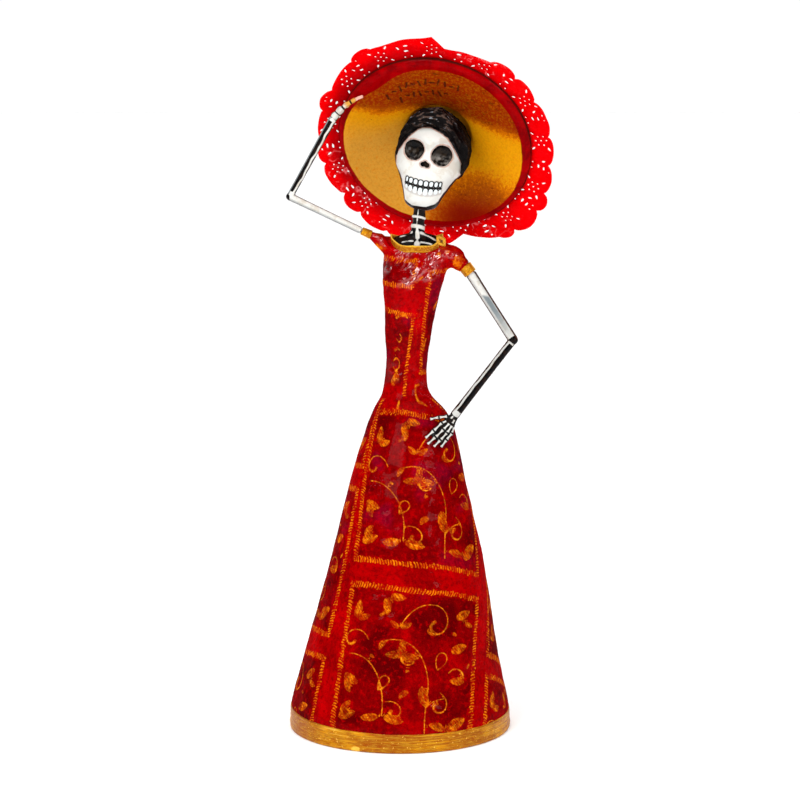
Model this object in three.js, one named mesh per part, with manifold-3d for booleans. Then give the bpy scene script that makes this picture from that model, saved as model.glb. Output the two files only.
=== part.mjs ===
// Papier-mache catrina: a skeleton lady in a long flared gown and a wide hat with a lace ruffle.
// Millimetres, +Z up. The figure faces -Y and stands on the flat underside of its gown,
// with the origin at the centre of that underside.

import * as THREE from 'three';
import { LoftGeometry } from 'three/addons/geometries/LoftGeometry.js';
import { mergeVertices } from 'three/addons/utils/BufferGeometryUtils.js';
import Module from 'manifold-3d';

const wasm = await Module();
wasm.setup();

const vec = ( x, y, z ) => new THREE.Vector3( x, y, z );

// Clearance between pieces that touch
const gap = 0.3;

// Gown, as oval rings up its height. `at` is the height of a ring, x and y its centre,
// `wide` and `deep` its half widths, and `dip` how far its front lies below its sides and back.
const gownSides = 32;
const gownRings = [
	{ at: 0, x: 0, y: 0, wide: 63.4, deep: 63.4, dip: 0 },
	{ at: 14, x: 0, y: 0, wide: 63.4, deep: 63.4, dip: 0 },
	{ at: 38, x: 0.6, y: 0, wide: 57.9, deep: 57.6, dip: 0 },
	{ at: 98, x: 4.1, y: 0, wide: 44.8, deep: 43.6, dip: 0 },
	{ at: 145, x: 4.6, y: 0, wide: 33.6, deep: 32.4, dip: 0 },
	{ at: 174, x: 5.9, y: 0, wide: 26.2, deep: 24.6, dip: 0 },
	{ at: 186, x: 5.2, y: 0, wide: 21, deep: 19.4, dip: 0 },
	{ at: 196, x: 3.5, y: 0, wide: 14, deep: 12.6, dip: 0 },
	{ at: 211, x: 3.5, y: 0, wide: 12.1, deep: 10.2, dip: 0 },
	{ at: 243, x: 5.7, y: - 0.4, wide: 14.9, deep: 11.6, dip: 0 },
	{ at: 263, x: 8, y: - 1.2, wide: 17.8, deep: 13, dip: 0 },
	{ at: 275, x: 10, y: - 0.4, wide: 19.6, deep: 11.4, dip: 1 },
	{ at: 281, x: 10.6, y: 0, wide: 18, deep: 10.4, dip: 3 },
	{ at: 285.4, x: 10.4, y: 0, wide: 13.6, deep: 9.4, dip: 4.4 },
];
const straightSkirtTop = 145;
const ringsPerStep = 2;

// Short sleeves, as balls of cloth that run from a root inside the gown over a middle to a cuff
const sleeveSides = 12;
const cuffOverlap = 0.2;
const rightSleeve = { root: vec( 2, 0, 277 ), rootSize: 8.6, middle: vec( - 8.4, - 0.3, 282.6 ), size: 5.6 };
const leftSleeve = { root: vec( 20, 0, 275 ), rootSize: 9, middle: vec( 30, - 0.3, 274.4 ), size: 7 };

// Gold strips round the hem and the neckline. The neckline's strip ends in a small folded loop.
const hemBand = { height: 13, thick: 1.2, wide: 64.9, taper: 0.4 };
const neckBand = { x: 9.6, z: 284.2, wide: 13.8, deep: 10, dip: 4.2, height: 4.2, thick: 0.8, flare: 0.5 };
const neckBandSteps = 24;
const neckLoop = { at: vec( 25, - 2.2, 284.6 ), long: 4.6, tall: 4, deep: 3, wall: 0.8, slant: 0.5 };

// Chest and neck, as rings up from the foot of the chest inside the neckline's strip
const neckSides = 20;
const neckRings = [
	{ up: - 6.6, x: 0, y: 0, wide: 13.3, deep: 9.5, tilt: 0 },
	{ up: 0.9, x: 0, y: 0, wide: 13.3, deep: 9.5, tilt: 1 },
	{ up: 2.2, x: 0.2, y: - 0.4, wide: 9.6, deep: 6.9, tilt: 0.8 },
	{ up: 3.3, x: 0.2, y: - 1.2, wide: 5.2, deep: 4.8, tilt: 0.4 },
	{ up: 5.7, x: 0.5, y: - 2.2, wide: 4, deep: 3.9, tilt: 0 },
	{ up: 13.3, x: 1.3, y: - 5.2, wide: 3.9, deep: 3.9, tilt: 0 },
	{ up: 27.3, x: 2.6, y: - 8.6, wide: 3.9, deep: 3.9, tilt: 0 },
];

// Arms. Each runs from inside its cuff to the elbow and on to the wrist.
const rightCuff = {
	inner: vec( - 16.6, - 0.6, 287.3 ), outer: vec( - 21.9, - 1, 289.6 ), innerRadius: 2.7, outerRadius: 2.3,
};
const leftCuff = {
	inner: vec( 37, - 0.6, 269.4 ), outer: vec( 40.4, - 1, 265.2 ), innerRadius: 4.1, outerRadius: 3.9,
};
const cuffWall = 0.7;
const cuffSides = 12;
const rightArm = {
	elbow: vec( - 62.6, - 5, 309.4 ), wrist: vec( - 37.9, - 9.6, 353.5 ),
	upper: [ 1.95, 2.2 ], lower: [ 1.95, 2.3 ], depth: 1.2,
};
const leftArm = {
	elbow: vec( 64.8, - 5, 227.4 ), wrist: vec( 31.2, - 17.4, 185.7 ),
	upper: [ 3.1, 2.9 ], lower: [ 2.5, 2.7 ], depth: 0.86,
};
const plugReach = 0.9;
const elbowSwell = 1.12;
const armSides = 10;
const fingerSides = 6;

// Hand, in its own frame: along the palm, across it toward the little finger, above the palm.
// A finger has its knuckle and its tip, given as [along, across].
const fingers = [
	{ knuckle: [ 7.9, - 2.7 ], tip: [ 19.7, - 5.2 ] },
	{ knuckle: [ 10.2, 0.3 ], tip: [ 21.6, - 2.1 ] },
	{ knuckle: [ 10.4, 3.2 ], tip: [ 20.6, 1.7 ] },
	{ knuckle: [ 8.8, 5.6 ], tip: [ 18.4, 5.3 ] },
];
const thumb = { knuckle: [ 3, - 2.7 ], tip: [ 10.4, - 9.4 ] };
const fingerRadius = 1.05;
const knuckleSwell = 1.35;
const fingerTaper = 0.28;
const palmRings = [
	{ along: - 1, across: 0, wide: 2.4, thick: 2 },
	{ along: 3, across: 0.4, wide: 3, thick: 1.8 },
	{ along: 8, across: 1.2, wide: 4.6, thick: 1.5 },
	{ along: 11, across: 1.5, wide: 4.8, thick: 1.1 },
];

// Lowered hand: its palm runs down across the hip, and its fingers lie on the gown
const hipHand = { along: vec( - 0.64, 0, - 0.766 ), across: vec( 0.766, 0, - 0.643 ), lift: 2.2 };

// Raised hand: it bends over an arc to lie on the brim, edge on
const brimHand = { startAngle: 48, endAngle: 20, length: 21.6 };

// Head: the face leans to the viewer's right and turns a little to the viewer's left
const head = { chin: vec( 12.3, - 12, 303.6 ), lean: 10, turn: 6 };

// Skull, as rings up from the chin. `forward` is how far its middle lies in front of the head's axis.
const skullSides = 20;
const headSides = 16;
const eyeSides = 12;
const noseSides = 8;
const skullRings = [
	{ at: 0, forward: 11.4, wide: 5, deep: 5.6 },
	{ at: 2, forward: 11, wide: 8.6, deep: 9.2 },
	{ at: 9, forward: 8.4, wide: 11.6, deep: 12.8 },
	{ at: 17, forward: 4.4, wide: 15.6, deep: 17.2 },
	{ at: 25, forward: 1, wide: 19.8, deep: 20.8 },
	{ at: 32, forward: 0, wide: 20, deep: 21.8 },
	{ at: 39, forward: - 0.6, wide: 17.4, deep: 20.6 },
	{ at: 44, forward: - 0.8, wide: 12.6, deep: 16 },
	{ at: 47, forward: - 1, wide: 7, deep: 9 },
];
const eyeSocket = { middle: - 0.4, aside: 7.9, up: 32, forward: 18.8, wide: 6.4, tall: 6.6, deep: 4.8 };
const noseHollow = { aside: 1.5, up: 25.2, forward: 21.6, wide: 1.9, tall: 2.4, deep: 2.4 };
const mouthRidge = { across: 0, up: 14.6, forward: 8.6, wide: 13.6, tall: 7.6, deep: 13.6 };
const mouthSlit = { up: 14.4, tall: 0.6, deep: 0.8, halfAngle: 52 };

// Hair: a roll round the face over a cap on the back of the skull, both placed in the head's frame
const hairCap = { up: 33.8, forward: - 8, across: 0.4, wide: 21.6, deep: 32, tall: 24.6 };
const hairRoll = {
	across: 0.7, up: 31.4, forward: 10, wide: 18.4, rise: 19.6, startAngle: - 22, endAngle: 184,
	startRadius: 3.4, midRadius: 5.8, endRadius: 2, steps: 10, sides: 8,
};
const faceOpening = { forward: 8.6, deep: 40, wide: 90 };
const hairline = 19;

// Hat: a shallow bowl tilted back, with its crown behind the head.
// A profile point is [distance from the hat's axis, depth toward the crown].
const hatCentre = vec( 19.2, 2, 337.4 );
const hatAxis = vec( 0.205, 0.853, 0.48 ).normalize();
const hatSides = 32;
const brimUnder = [ [ 22, 11.5 ], [ 34, 7 ], [ 44, 3.2 ], [ 51.6, 0.3 ] ];
const brimEdge = [ [ 54.6, 0.6 ], [ 56.1, 2.2 ], [ 55.6, 3.7 ] ];
const brimTop = [ [ 50, 4.9 ], [ 44, 6.9 ], [ 34, 10.7 ], [ 28, 13.6 ], [ 25.4, 17 ] ];
const crownOuter = [ [ 24.2, 23 ], [ 20, 31.6 ], [ 12, 35 ], [ 0, 36 ] ];
const crownInner = [ [ 0, 32.4 ], [ 12, 31.4 ], [ 19.6, 22 ], [ 20.6, 15 ] ];

// Lace ruffle glued round the top side of the brim. Angles run from the viewer's right over the top.
const lace = { glued: 49, sheet: 0.9, flare: - 2, waves: 11, waveHeight: 1 };
const laceDegreesPerStep = 4.8;
const lobeRoundness = 0.7;

// Its hand-cut lobes. A lobe starts at an angle, where the ruffle has a reach, and bulges past the
// straight line to the start of the next one. Where the ruffle is folded back it runs straight.
const laceLobes = [
	[ - 76.5, 62.2, 0.3 ], [ - 60, 70.8, 3.3 ], [ - 51, 70.8, 4.6 ], [ - 35, 70.8, 4.2 ], [ - 25, 68.8, 3.4 ],
	[ - 7.5, 66.2, 3.4 ], [ 7.5, 65.9, 4 ], [ 29, 66.7, 3.2 ], [ 43.5, 65.6, 4 ], [ 58.5, 65.8, 0 ],
	[ 82.5, 62.8, 0 ], [ 88.5, 70.8, 0.6 ], [ 119.5, 68.8, 3.4 ], [ 132, 68, 1.8 ], [ 151, 66.2, 4 ],
	[ 165, 66.9, 2.4 ], [ 183, 67, 3.2 ], [ 195, 67.1, 4.8 ], [ 214, 66.3, 3.9 ], [ 227, 68.3, 4.2 ],
	[ 243, 69.6, 3 ], [ 260, 68, 2.6 ], [ 276.5, 67.2, 0 ],
].map( ( [ angle, reach, bulge ] ) => ( { angle: THREE.MathUtils.degToRad( angle ), reach, bulge } ) );

// Turns a closed geometry into a solid for joining and cutting
function solidOf( geometry ) {

	const bare = new THREE.BufferGeometry();
	bare.setAttribute( 'position', geometry.attributes.position );
	bare.setIndex( geometry.index );
	const merged = mergeVertices( bare, 1e-4 );
	return new wasm.Manifold( new wasm.Mesh( {
		numProp: 3,
		vertProperties: new Float32Array( merged.attributes.position.array ),
		triVerts: new Uint32Array( merged.index.array ),
	} ) );

}

function geometryOf( solid ) {

	const mesh = solid.getMesh();
	const geometry = new THREE.BufferGeometry();
	geometry.setAttribute( 'position', new THREE.BufferAttribute( mesh.vertProperties, 3 ) );
	geometry.setIndex( new THREE.BufferAttribute( mesh.triVerts, 1 ) );
	geometry.computeVertexNormals();
	return geometry;

}

function joined( solids ) {

	return solids.reduce( ( whole, solid ) => whole.add( solid ) );

}

function lofted( sections ) {

	return solidOf( new LoftGeometry( sections, { capStart: true, capEnd: true } ) );

}

// A loft that runs round and meets its own start
function loopedLoft( sections ) {

	return solidOf( new LoftGeometry( [ ...sections, sections[ 0 ] ] ) );

}

// One measure of a list of stations at a given place, on a smooth curve through them
function measureAt( stations, key, place ) {

	let i = 0;
	while ( i < stations.length - 2 && place > stations[ i + 1 ].at ) i += 1;
	const slope = ( k ) => {

		const before = stations[ Math.max( k - 1, 0 ) ];
		const after = stations[ Math.min( k + 1, stations.length - 1 ) ];
		return ( after[ key ] - before[ key ] ) / ( after.at - before.at );

	};

	const span = stations[ i + 1 ].at - stations[ i ].at;
	const t = ( place - stations[ i ].at ) / span;
	const start = stations[ i ][ key ];
	const end = stations[ i + 1 ][ key ];
	const lift = t * t * ( 3 - 2 * t );
	return start + ( end - start ) * lift
		+ slope( i ) * span * t * ( 1 - t ) * ( 1 - t ) - slope( i + 1 ) * span * t * t * ( 1 - t );

}

// Places along a list of stations, each step between two of them cut into equal parts
function placesAlong( stations, parts ) {

	const places = [];
	for ( let i = 0; i < stations.length - 1; i ++ ) {

		for ( let k = 0; k < parts; k ++ ) {

			places.push( stations[ i ].at + ( stations[ i + 1 ].at - stations[ i ].at ) * k / parts );

		}

	}

	places.push( stations[ stations.length - 1 ].at );
	return places;

}

function around( count, pointAt ) {

	const points = [];
	for ( let i = 0; i < count; i ++ ) points.push( pointAt( i / count * Math.PI * 2 ) );
	return points;

}

// An oval section square to a direction, with its second half width toward the figure's depth
function ovalSection( centre, direction, wide, deep, sides ) {

	const side = vec( 0, 1, 0 ).cross( direction ).normalize();
	const depth = direction.clone().cross( side ).normalize();
	return around( sides, ( angle ) => centre.clone()
		.addScaledVector( side, Math.cos( angle ) * wide )
		.addScaledVector( depth, Math.sin( angle ) * deep ) );

}

// A tapering limb through stations that each have a centre, a width and a depth
function limb( stations, sides ) {

	return lofted( stations.map( ( station, i ) => {

		const before = stations[ Math.max( i - 1, 0 ) ].centre;
		const after = stations[ Math.min( i + 1, stations.length - 1 ) ].centre;
		const direction = after.clone().sub( before ).normalize();
		return ovalSection( station.centre, direction, station.wide, station.deep, sides );

	} ) );

}

function ball( centre, radius, sides ) {

	const geometry = new THREE.SphereGeometry( radius, sides, Math.round( sides / 2 ) );
	geometry.translate( centre.x, centre.y, centre.z );
	return solidOf( geometry );

}

// Gown

function gownSection( height ) {

	const get = ( key ) => measureAt( gownRings, key, height );
	return around( gownSides, ( angle ) => vec(
		get( 'x' ) + get( 'wide' ) * Math.cos( angle ),
		get( 'y' ) + get( 'deep' ) * Math.sin( angle ),
		height + get( 'dip' ) * Math.min( Math.sin( angle ), 0 ),
	) );

}

// Depth of the gown's front at a place seen from the front
function gownFront( x, z ) {

	const get = ( key ) => measureAt( gownRings, key, z );
	const across = THREE.MathUtils.clamp( ( x - get( 'x' ) ) / get( 'wide' ), - 0.98, 0.98 );
	return get( 'y' ) - get( 'deep' ) * Math.sqrt( 1 - across * across );

}

function sleeve( { root, rootSize, middle, size }, cuff ) {

	const end = cuff.inner.clone().lerp( cuff.outer, cuffOverlap );
	const endRadius = cuff.innerRadius;
	return limb( [
		{ centre: root, wide: rootSize, deep: rootSize },
		{ centre: middle, wide: size, deep: size },
		{ centre: middle.clone().lerp( end, 0.5 ), wide: ( size + endRadius ) / 2, deep: endRadius + 1 },
		{ centre: end, wide: endRadius, deep: endRadius },
	], sleeveSides );

}

function makeDress() {

	const skirt = gownRings.filter( ( ring ) => ring.at < straightSkirtTop ).map( ( ring ) => ring.at );
	const above = placesAlong( gownRings.filter( ( ring ) => ring.at >= straightSkirtTop ), ringsPerStep );
	const body = lofted( [ ...skirt, ...above ].map( gownSection ) );
	const cloth = joined( [ body, sleeve( rightSleeve, rightCuff ), sleeve( leftSleeve, leftCuff ) ] );
	const cuffRooms = joined( [ cuffRoom( rightCuff ), cuffRoom( leftCuff ) ] );
	const neckRooms = joined( [ neckBandSolid( gap ), neckLoopSolid( gap ), neckSolid( gap ) ] );
	return cloth.subtract( cuffRooms ).subtract( neckRooms );

}

// Gold strips

function makeHemBand() {

	const { height, thick, wide, taper } = hemBand;
	const inner = wide - thick;
	const profile = [ [ inner, 0 ], [ wide, 0 ], [ wide - taper, height ], [ inner, height ] ];
	const points = [ ...profile, profile[ 0 ] ].map( ( [ r, z ] ) => new THREE.Vector2( r, z ) );
	const geometry = new THREE.LatheGeometry( points, gownSides );
	geometry.rotateX( Math.PI / 2 );
	return solidOf( geometry );

}

// The neckline's strip, or with `grow` the room that it takes up in the gown
function neckBandSolid( grow ) {

	const { x, z, wide, deep, dip, height, thick, flare } = neckBand;
	const section = ( angle ) => {

		const at = ( out, up ) => vec(
			x + ( wide + out ) * Math.cos( angle ),
			( deep + out ) * Math.sin( angle ),
			z + dip * Math.min( Math.sin( angle ), 0 ) + up,
		);
		const low = - height / 2 - grow;
		const high = height / 2 + grow;
		const outside = thick + grow;
		return [ at( flare - grow, high ), at( flare + outside, high ), at( outside, low ), at( - grow, low ) ];

	};

	return loopedLoft( around( neckBandSteps, section ) );

}

// The small folded loop at the end of the strip, or with `grow` the room that it takes up
function neckLoopSolid( grow ) {

	const { at, long, tall, deep, wall, slant } = neckLoop;
	const corners = ( inset, Outline ) => {

		const right = long / 2 - inset;
		const high = tall / 2 - inset;
		const outline = new Outline();
		outline.moveTo( - right, slant - high );
		outline.lineTo( right, - high - slant );
		outline.lineTo( right, high - slant );
		outline.lineTo( - right, high + slant );
		outline.closePath();
		return outline;

	};

	const outline = corners( - grow, THREE.Shape );
	if ( grow === 0 ) outline.holes.push( corners( wall, THREE.Path ) );
	const loop = new THREE.ExtrudeGeometry( outline, { depth: deep + 2 * grow, bevelEnabled: false } );
	loop.translate( 0, 0, - grow );
	loop.rotateX( Math.PI / 2 );
	loop.translate( at.x, at.y, at.z );
	return solidOf( loop );

}

function makeNecklineBand() {

	return neckBandSolid( 0 ).add( neckLoopSolid( 0 ) );

}

// A closed outline of [radius, distance] points turned about the line of a cuff
function turnedOnCuff( cuff, outline ) {

	const points = outline.map( ( [ radius, distance ] ) => new THREE.Vector2( radius, distance ) );
	const geometry = new THREE.LatheGeometry( points, cuffSides );
	const direction = cuff.outer.clone().sub( cuff.inner ).normalize();
	geometry.applyQuaternion( new THREE.Quaternion().setFromUnitVectors( vec( 0, 1, 0 ), direction ) );
	geometry.translate( cuff.inner.x, cuff.inner.y, cuff.inner.z );
	return solidOf( geometry );

}

function makeCuff( cuff ) {

	const length = cuff.inner.distanceTo( cuff.outer );
	return turnedOnCuff( cuff, [
		[ cuff.innerRadius - cuffWall, 0 ],
		[ cuff.innerRadius, 0 ],
		[ cuff.outerRadius, length ],
		[ cuff.outerRadius - cuffWall, length ],
		[ cuff.innerRadius - cuffWall, 0 ],
	] );

}

// The room that a cuff and the arm in it take up at the end of a sleeve
function cuffRoom( cuff ) {

	const length = cuff.inner.distanceTo( cuff.outer );
	const radius = cuff.innerRadius + 2 * gap;
	return turnedOnCuff( cuff, [ [ 0, - gap ], [ radius, - gap ], [ radius, 2 * length ], [ 0, 2 * length ] ] );

}

// Arms and hands

function handSolid( place ) {

	const bone = ( start, end ) => {

		const steps = 4;
		const stations = [];
		for ( let i = 0; i <= steps; i ++ ) {

			const t = i / steps;
			const taper = 1 - fingerTaper * t;
			const radius = fingerRadius * taper * ( i % 2 === 0 ? knuckleSwell : 1 );
			const along = THREE.MathUtils.lerp( start[ 0 ], end[ 0 ], t );
			const across = THREE.MathUtils.lerp( start[ 1 ], end[ 1 ], t );
			stations.push( { centre: place( along, across ), wide: radius, deep: radius } );

		}

		return limb( stations, fingerSides );

	};

	const palm = lofted( palmRings.map( ( ring ) => {

		const centre = place( ring.along, ring.across );
		const side = place( ring.along, ring.across + 1 ).sub( centre ).normalize();
		const forward = place( ring.along + 1, ring.across ).sub( centre ).normalize();
		const up = forward.clone().cross( side ).normalize();
		return around( armSides, ( angle ) => centre.clone()
			.addScaledVector( side, Math.cos( angle ) * ring.wide )
			.addScaledVector( up, Math.sin( angle ) * ring.thick ) );

	} ) );
	return joined( [ palm, ...[ ...fingers, thumb ].map( ( { knuckle, tip } ) => bone( knuckle, tip ) ) ] );

}

function armSolid( arm, cuff ) {

	const direction = arm.elbow.clone().sub( cuff.outer ).normalize();
	const mouth = cuff.outer.clone().addScaledVector( direction, 2 * gap );
	const hidden = cuff.outer.clone().lerp( cuff.inner, plugReach );
	const hiddenRadius = cuff.outerRadius - cuffWall - 2 * gap;
	const rod = ( start, end, [ startSize, endSize ] ) => limb( [
		{ centre: start, wide: startSize, deep: startSize * arm.depth },
		{ centre: start.clone().lerp( end, 0.5 ), wide: startSize, deep: startSize * arm.depth },
		{ centre: end, wide: endSize, deep: endSize * arm.depth },
	], armSides );
	const plug = limb( [
		{ centre: hidden, wide: hiddenRadius, deep: hiddenRadius },
		{ centre: mouth.clone().addScaledVector( direction, 1 ), wide: hiddenRadius, deep: hiddenRadius },
	], armSides );
	const upper = rod( mouth, arm.elbow, arm.upper );
	const lower = rod( arm.elbow, arm.wrist, arm.lower );
	return joined( [ upper, plug, lower, ball( arm.elbow, arm.lower[ 0 ] * elbowSwell, armSides ) ] );

}

// A place on the lowered hand, lying just off the gown
function onHip( along, across ) {

	const spot = leftArm.wrist.clone()
		.addScaledVector( hipHand.along, along )
		.addScaledVector( hipHand.across, across );
	spot.y = Math.min( leftArm.wrist.y, gownFront( spot.x, spot.z ) - hipHand.lift );
	return spot;

}

// A place on the raised hand, whose fingers lie one behind the other as the viewer sees them
function onBrim( along, across ) {

	const { startAngle, endAngle, length } = brimHand;
	const start = THREE.MathUtils.degToRad( startAngle );
	const bend = THREE.MathUtils.degToRad( endAngle - startAngle ) / length;
	const angle = start + bend * along;
	return rightArm.wrist.clone().add( vec(
		( Math.sin( angle ) - Math.sin( start ) ) / bend,
		- across,
		( Math.cos( start ) - Math.cos( angle ) ) / bend,
	) );

}

function makeRightArm() {

	return armSolid( rightArm, rightCuff ).add( handSolid( onBrim ) );

}

function makeLeftArm() {

	return armSolid( leftArm, leftCuff ).add( handSolid( onHip ) );

}

// Head

const headTurn = new THREE.Quaternion().setFromEuler( new THREE.Euler(
	0,
	THREE.MathUtils.degToRad( head.lean ),
	THREE.MathUtils.degToRad( - head.turn ),
	'YZX',
) );

// A place in the head's frame: across to the viewer's right, forward to the face, up from the chin
function inHead( across, forward, up ) {

	return vec( across, - forward, up ).applyQuaternion( headTurn ).add( head.chin );

}

function headBall( { across, forward, up, wide, deep, tall }, sides ) {

	const geometry = new THREE.SphereGeometry( 1, sides, Math.round( sides / 2 ) );
	geometry.scale( wide, deep, tall );
	geometry.applyQuaternion( headTurn );
	const centre = inHead( across, forward, up );
	geometry.translate( centre.x, centre.y, centre.z );
	return solidOf( geometry );

}

function headBox( forward, up, size, deep ) {

	const geometry = new THREE.BoxGeometry( size, deep, size );
	geometry.applyQuaternion( headTurn );
	const centre = inHead( 0, forward, up );
	geometry.translate( centre.x, centre.y, centre.z );
	return solidOf( geometry );

}

// The skull's bare form, or with `grow` the room that it takes up in its neighbours
function skullForm( grow ) {

	const places = placesAlong( skullRings, 2 );
	const top = places[ places.length - 1 ];
	return lofted( places.map( ( up ) => {

		const get = ( key ) => measureAt( skullRings, key, up );
		const reach = up === 0 ? up - grow : up === top ? up + grow : up;
		return around( skullSides, ( angle ) => inHead(
			( get( 'wide' ) + grow ) * Math.cos( angle ),
			get( 'forward' ) - ( get( 'deep' ) + grow ) * Math.sin( angle ),
			reach,
		) );

	} ) );

}

function makeSkull() {

	const whole = skullForm( 0 ).add( headBall( mouthRidge, headSides ) );
	const cuts = [];
	for ( const side of [ - 1, 1 ] ) {

		cuts.push( headBall( { ...eyeSocket, across: eyeSocket.middle + side * eyeSocket.aside }, eyeSides ) );
		cuts.push( headBall( { ...noseHollow, across: side * noseHollow.aside }, noseSides ) );

	}

	const slit = solidOf( mouthSlitGeometry() );
	return whole.subtract( joined( [ ...cuts, slit ] ) );

}

// A thin curved wedge between the two rows of teeth
function mouthSlitGeometry() {

	const { up, tall, deep, halfAngle } = mouthSlit;
	const { forward, wide, deep: ridgeDeep } = mouthRidge;
	const sections = [];
	const steps = 8;
	for ( let i = 0; i <= steps; i ++ ) {

		const angle = THREE.MathUtils.degToRad( 90 + halfAngle * ( 2 * i / steps - 1 ) );
		const at = ( scale, lift ) => inHead(
			( wide + scale ) * Math.cos( angle ),
			forward + ( ridgeDeep + scale ) * Math.sin( angle ),
			up + lift,
		);
		const half = tall / 2;
		sections.push( [ at( 1, - half ), at( 1, half ), at( - deep, half ), at( - deep, - half ) ] );

	}

	return new LoftGeometry( sections, { capStart: true, capEnd: true } );

}

function makeHair() {

	const { across, up, forward, wide, rise, startAngle, endAngle, steps, sides } = hairRoll;
	const cap = headBall( hairCap, headSides );
	const roll = [];
	for ( let i = 0; i <= steps; i ++ ) {

		const t = i / steps;
		const angle = THREE.MathUtils.degToRad( THREE.MathUtils.lerp( startAngle, endAngle, t ) );
		const ends = THREE.MathUtils.lerp( hairRoll.startRadius, hairRoll.endRadius, t );
		const radius = ends + ( hairRoll.midRadius - ends ) * Math.sin( Math.PI * t ) ** 0.7;
		roll.push( {
			centre: inHead( across + wide * Math.cos( angle ), forward, up + rise * Math.sin( angle ) ),
			wide: radius, deep: radius,
		} );

	}

	const { forward: faceFront, deep: faceDeep, wide: faceWide } = faceOpening;
	const opening = headBox( faceFront + faceDeep / 2, hairCap.up, faceWide, faceDeep );
	const below = headBox( 0, hairline - faceWide / 2, faceWide, faceWide );
	return cap.subtract( opening )
		.add( limb( roll, sides ) )
		.subtract( below )
		.subtract( skullForm( gap ) )
		.subtract( hatSolid( gap ) );

}

// The chest inside the neckline with the thin neck on it, or with `grow` the room that it takes up
function neckSolid( grow ) {

	const edge = gownRings[ gownRings.length - 1 ];
	return lofted( neckRings.map( ( { up, x, y, wide, deep, tilt }, i ) => around( neckSides, ( angle ) => vec(
		neckBand.x + x + ( wide + grow ) * Math.cos( angle ),
		y + ( deep + grow ) * Math.sin( angle ),
		edge.at + up - ( i === 0 ? grow : 0 ) + neckBand.dip * tilt * Math.min( Math.sin( angle ), 0 ),
	) ) ) );

}

function makeNeckAndChest() {

	return neckSolid( 0 ).subtract( skullForm( gap ) );

}

// Hat

// Moves a profile outward by `grow`, so that it bounds the room the hat takes up
function grownProfile( points, grow ) {

	return points.map( ( [ r, s ], i ) => {

		const before = points[ Math.max( i - 1, 0 ) ];
		const after = points[ Math.min( i + 1, points.length - 1 ) ];
		const run = new THREE.Vector2( after[ 0 ] - before[ 0 ], after[ 1 ] - before[ 1 ] ).normalize();
		return new THREE.Vector2( r === 0 ? 0 : r + run.y * grow, s - run.x * grow );

	} );

}

function placeOnHat( geometry ) {

	geometry.applyQuaternion( new THREE.Quaternion().setFromUnitVectors( vec( 0, 1, 0 ), hatAxis ) );
	geometry.translate( hatCentre.x, hatCentre.y, hatCentre.z );
	return geometry;

}

function hatSolid( grow ) {

	const profile = [ ...crownInner, ...brimUnder, ...brimEdge, ...brimTop, ...crownOuter ];
	const geometry = new THREE.LatheGeometry( grownProfile( profile, grow ), hatSides );
	return solidOf( placeOnHat( geometry ) );

}

// Depth of the brim's top side at a distance from the hat's axis
function brimTopDepth( radius ) {

	const points = [ ...brimTop ].reverse().concat( [ brimEdge[ 2 ] ] );
	for ( let i = 0; i < points.length - 1; i ++ ) {

		const [ r0, s0 ] = points[ i ];
		const [ r1, s1 ] = points[ i + 1 ];
		if ( radius <= r1 ) return s0 + ( s1 - s0 ) * ( radius - r0 ) / ( r1 - r0 );

	}

	return brimEdge[ 2 ][ 1 ];

}

// Angles and reaches along the lace's edge, from lobe to lobe
function laceEdge() {

	const edge = [];
	laceLobes.forEach( ( lobe, i ) => {

		const next = laceLobes[ ( i + 1 ) % laceLobes.length ];
		const width = ( next.angle - lobe.angle + Math.PI * 2 ) % ( Math.PI * 2 );
		const steps = Math.ceil( THREE.MathUtils.radToDeg( width ) / laceDegreesPerStep );
		for ( let k = 0; k < steps; k ++ ) {

			const t = k / steps;
			const straight = lobe.reach * next.reach * Math.sin( width )
				/ ( lobe.reach * Math.sin( width * t ) + next.reach * Math.sin( width * ( 1 - t ) ) );
			const bump = lobe.bulge * Math.sin( Math.PI * t ) ** lobeRoundness;
			edge.push( { angle: lobe.angle + width * t, reach: straight + bump } );

		}

	} );
	return edge;

}

function makeHatLace() {

	const frame = new THREE.Quaternion().setFromUnitVectors( vec( 0, 1, 0 ), hatAxis );
	const [ rimRadius, rimDepth ] = brimEdge[ 2 ];
	const section = ( { angle, reach } ) => {

		const wave = lace.waveHeight * Math.sin( angle * lace.waves );
		const front = [
			[ lace.glued, brimTopDepth( lace.glued ) + gap ],
			[ rimRadius, rimDepth + gap ],
			[ reach, rimDepth + gap + lace.flare + wave ],
		];
		const back = front.map( ( [ r, s ] ) => [ r, s + lace.sheet ] ).reverse();
		return [ ...front, ...back ].map( ( [ r, s ] ) => vec( Math.cos( angle ) * r, s, Math.sin( angle ) * r )
			.applyQuaternion( frame ).add( hatCentre ) );

	};

	return loopedLoft( laceEdge().map( section ) );

}

// Assembly

function piece( name, solid, color, roughness, metalness ) {

	const material = new THREE.MeshStandardMaterial( { color, roughness, metalness } );
	const mesh = new THREE.Mesh( geometryOf( solid ), material );
	mesh.name = name;
	return mesh;

}

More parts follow.
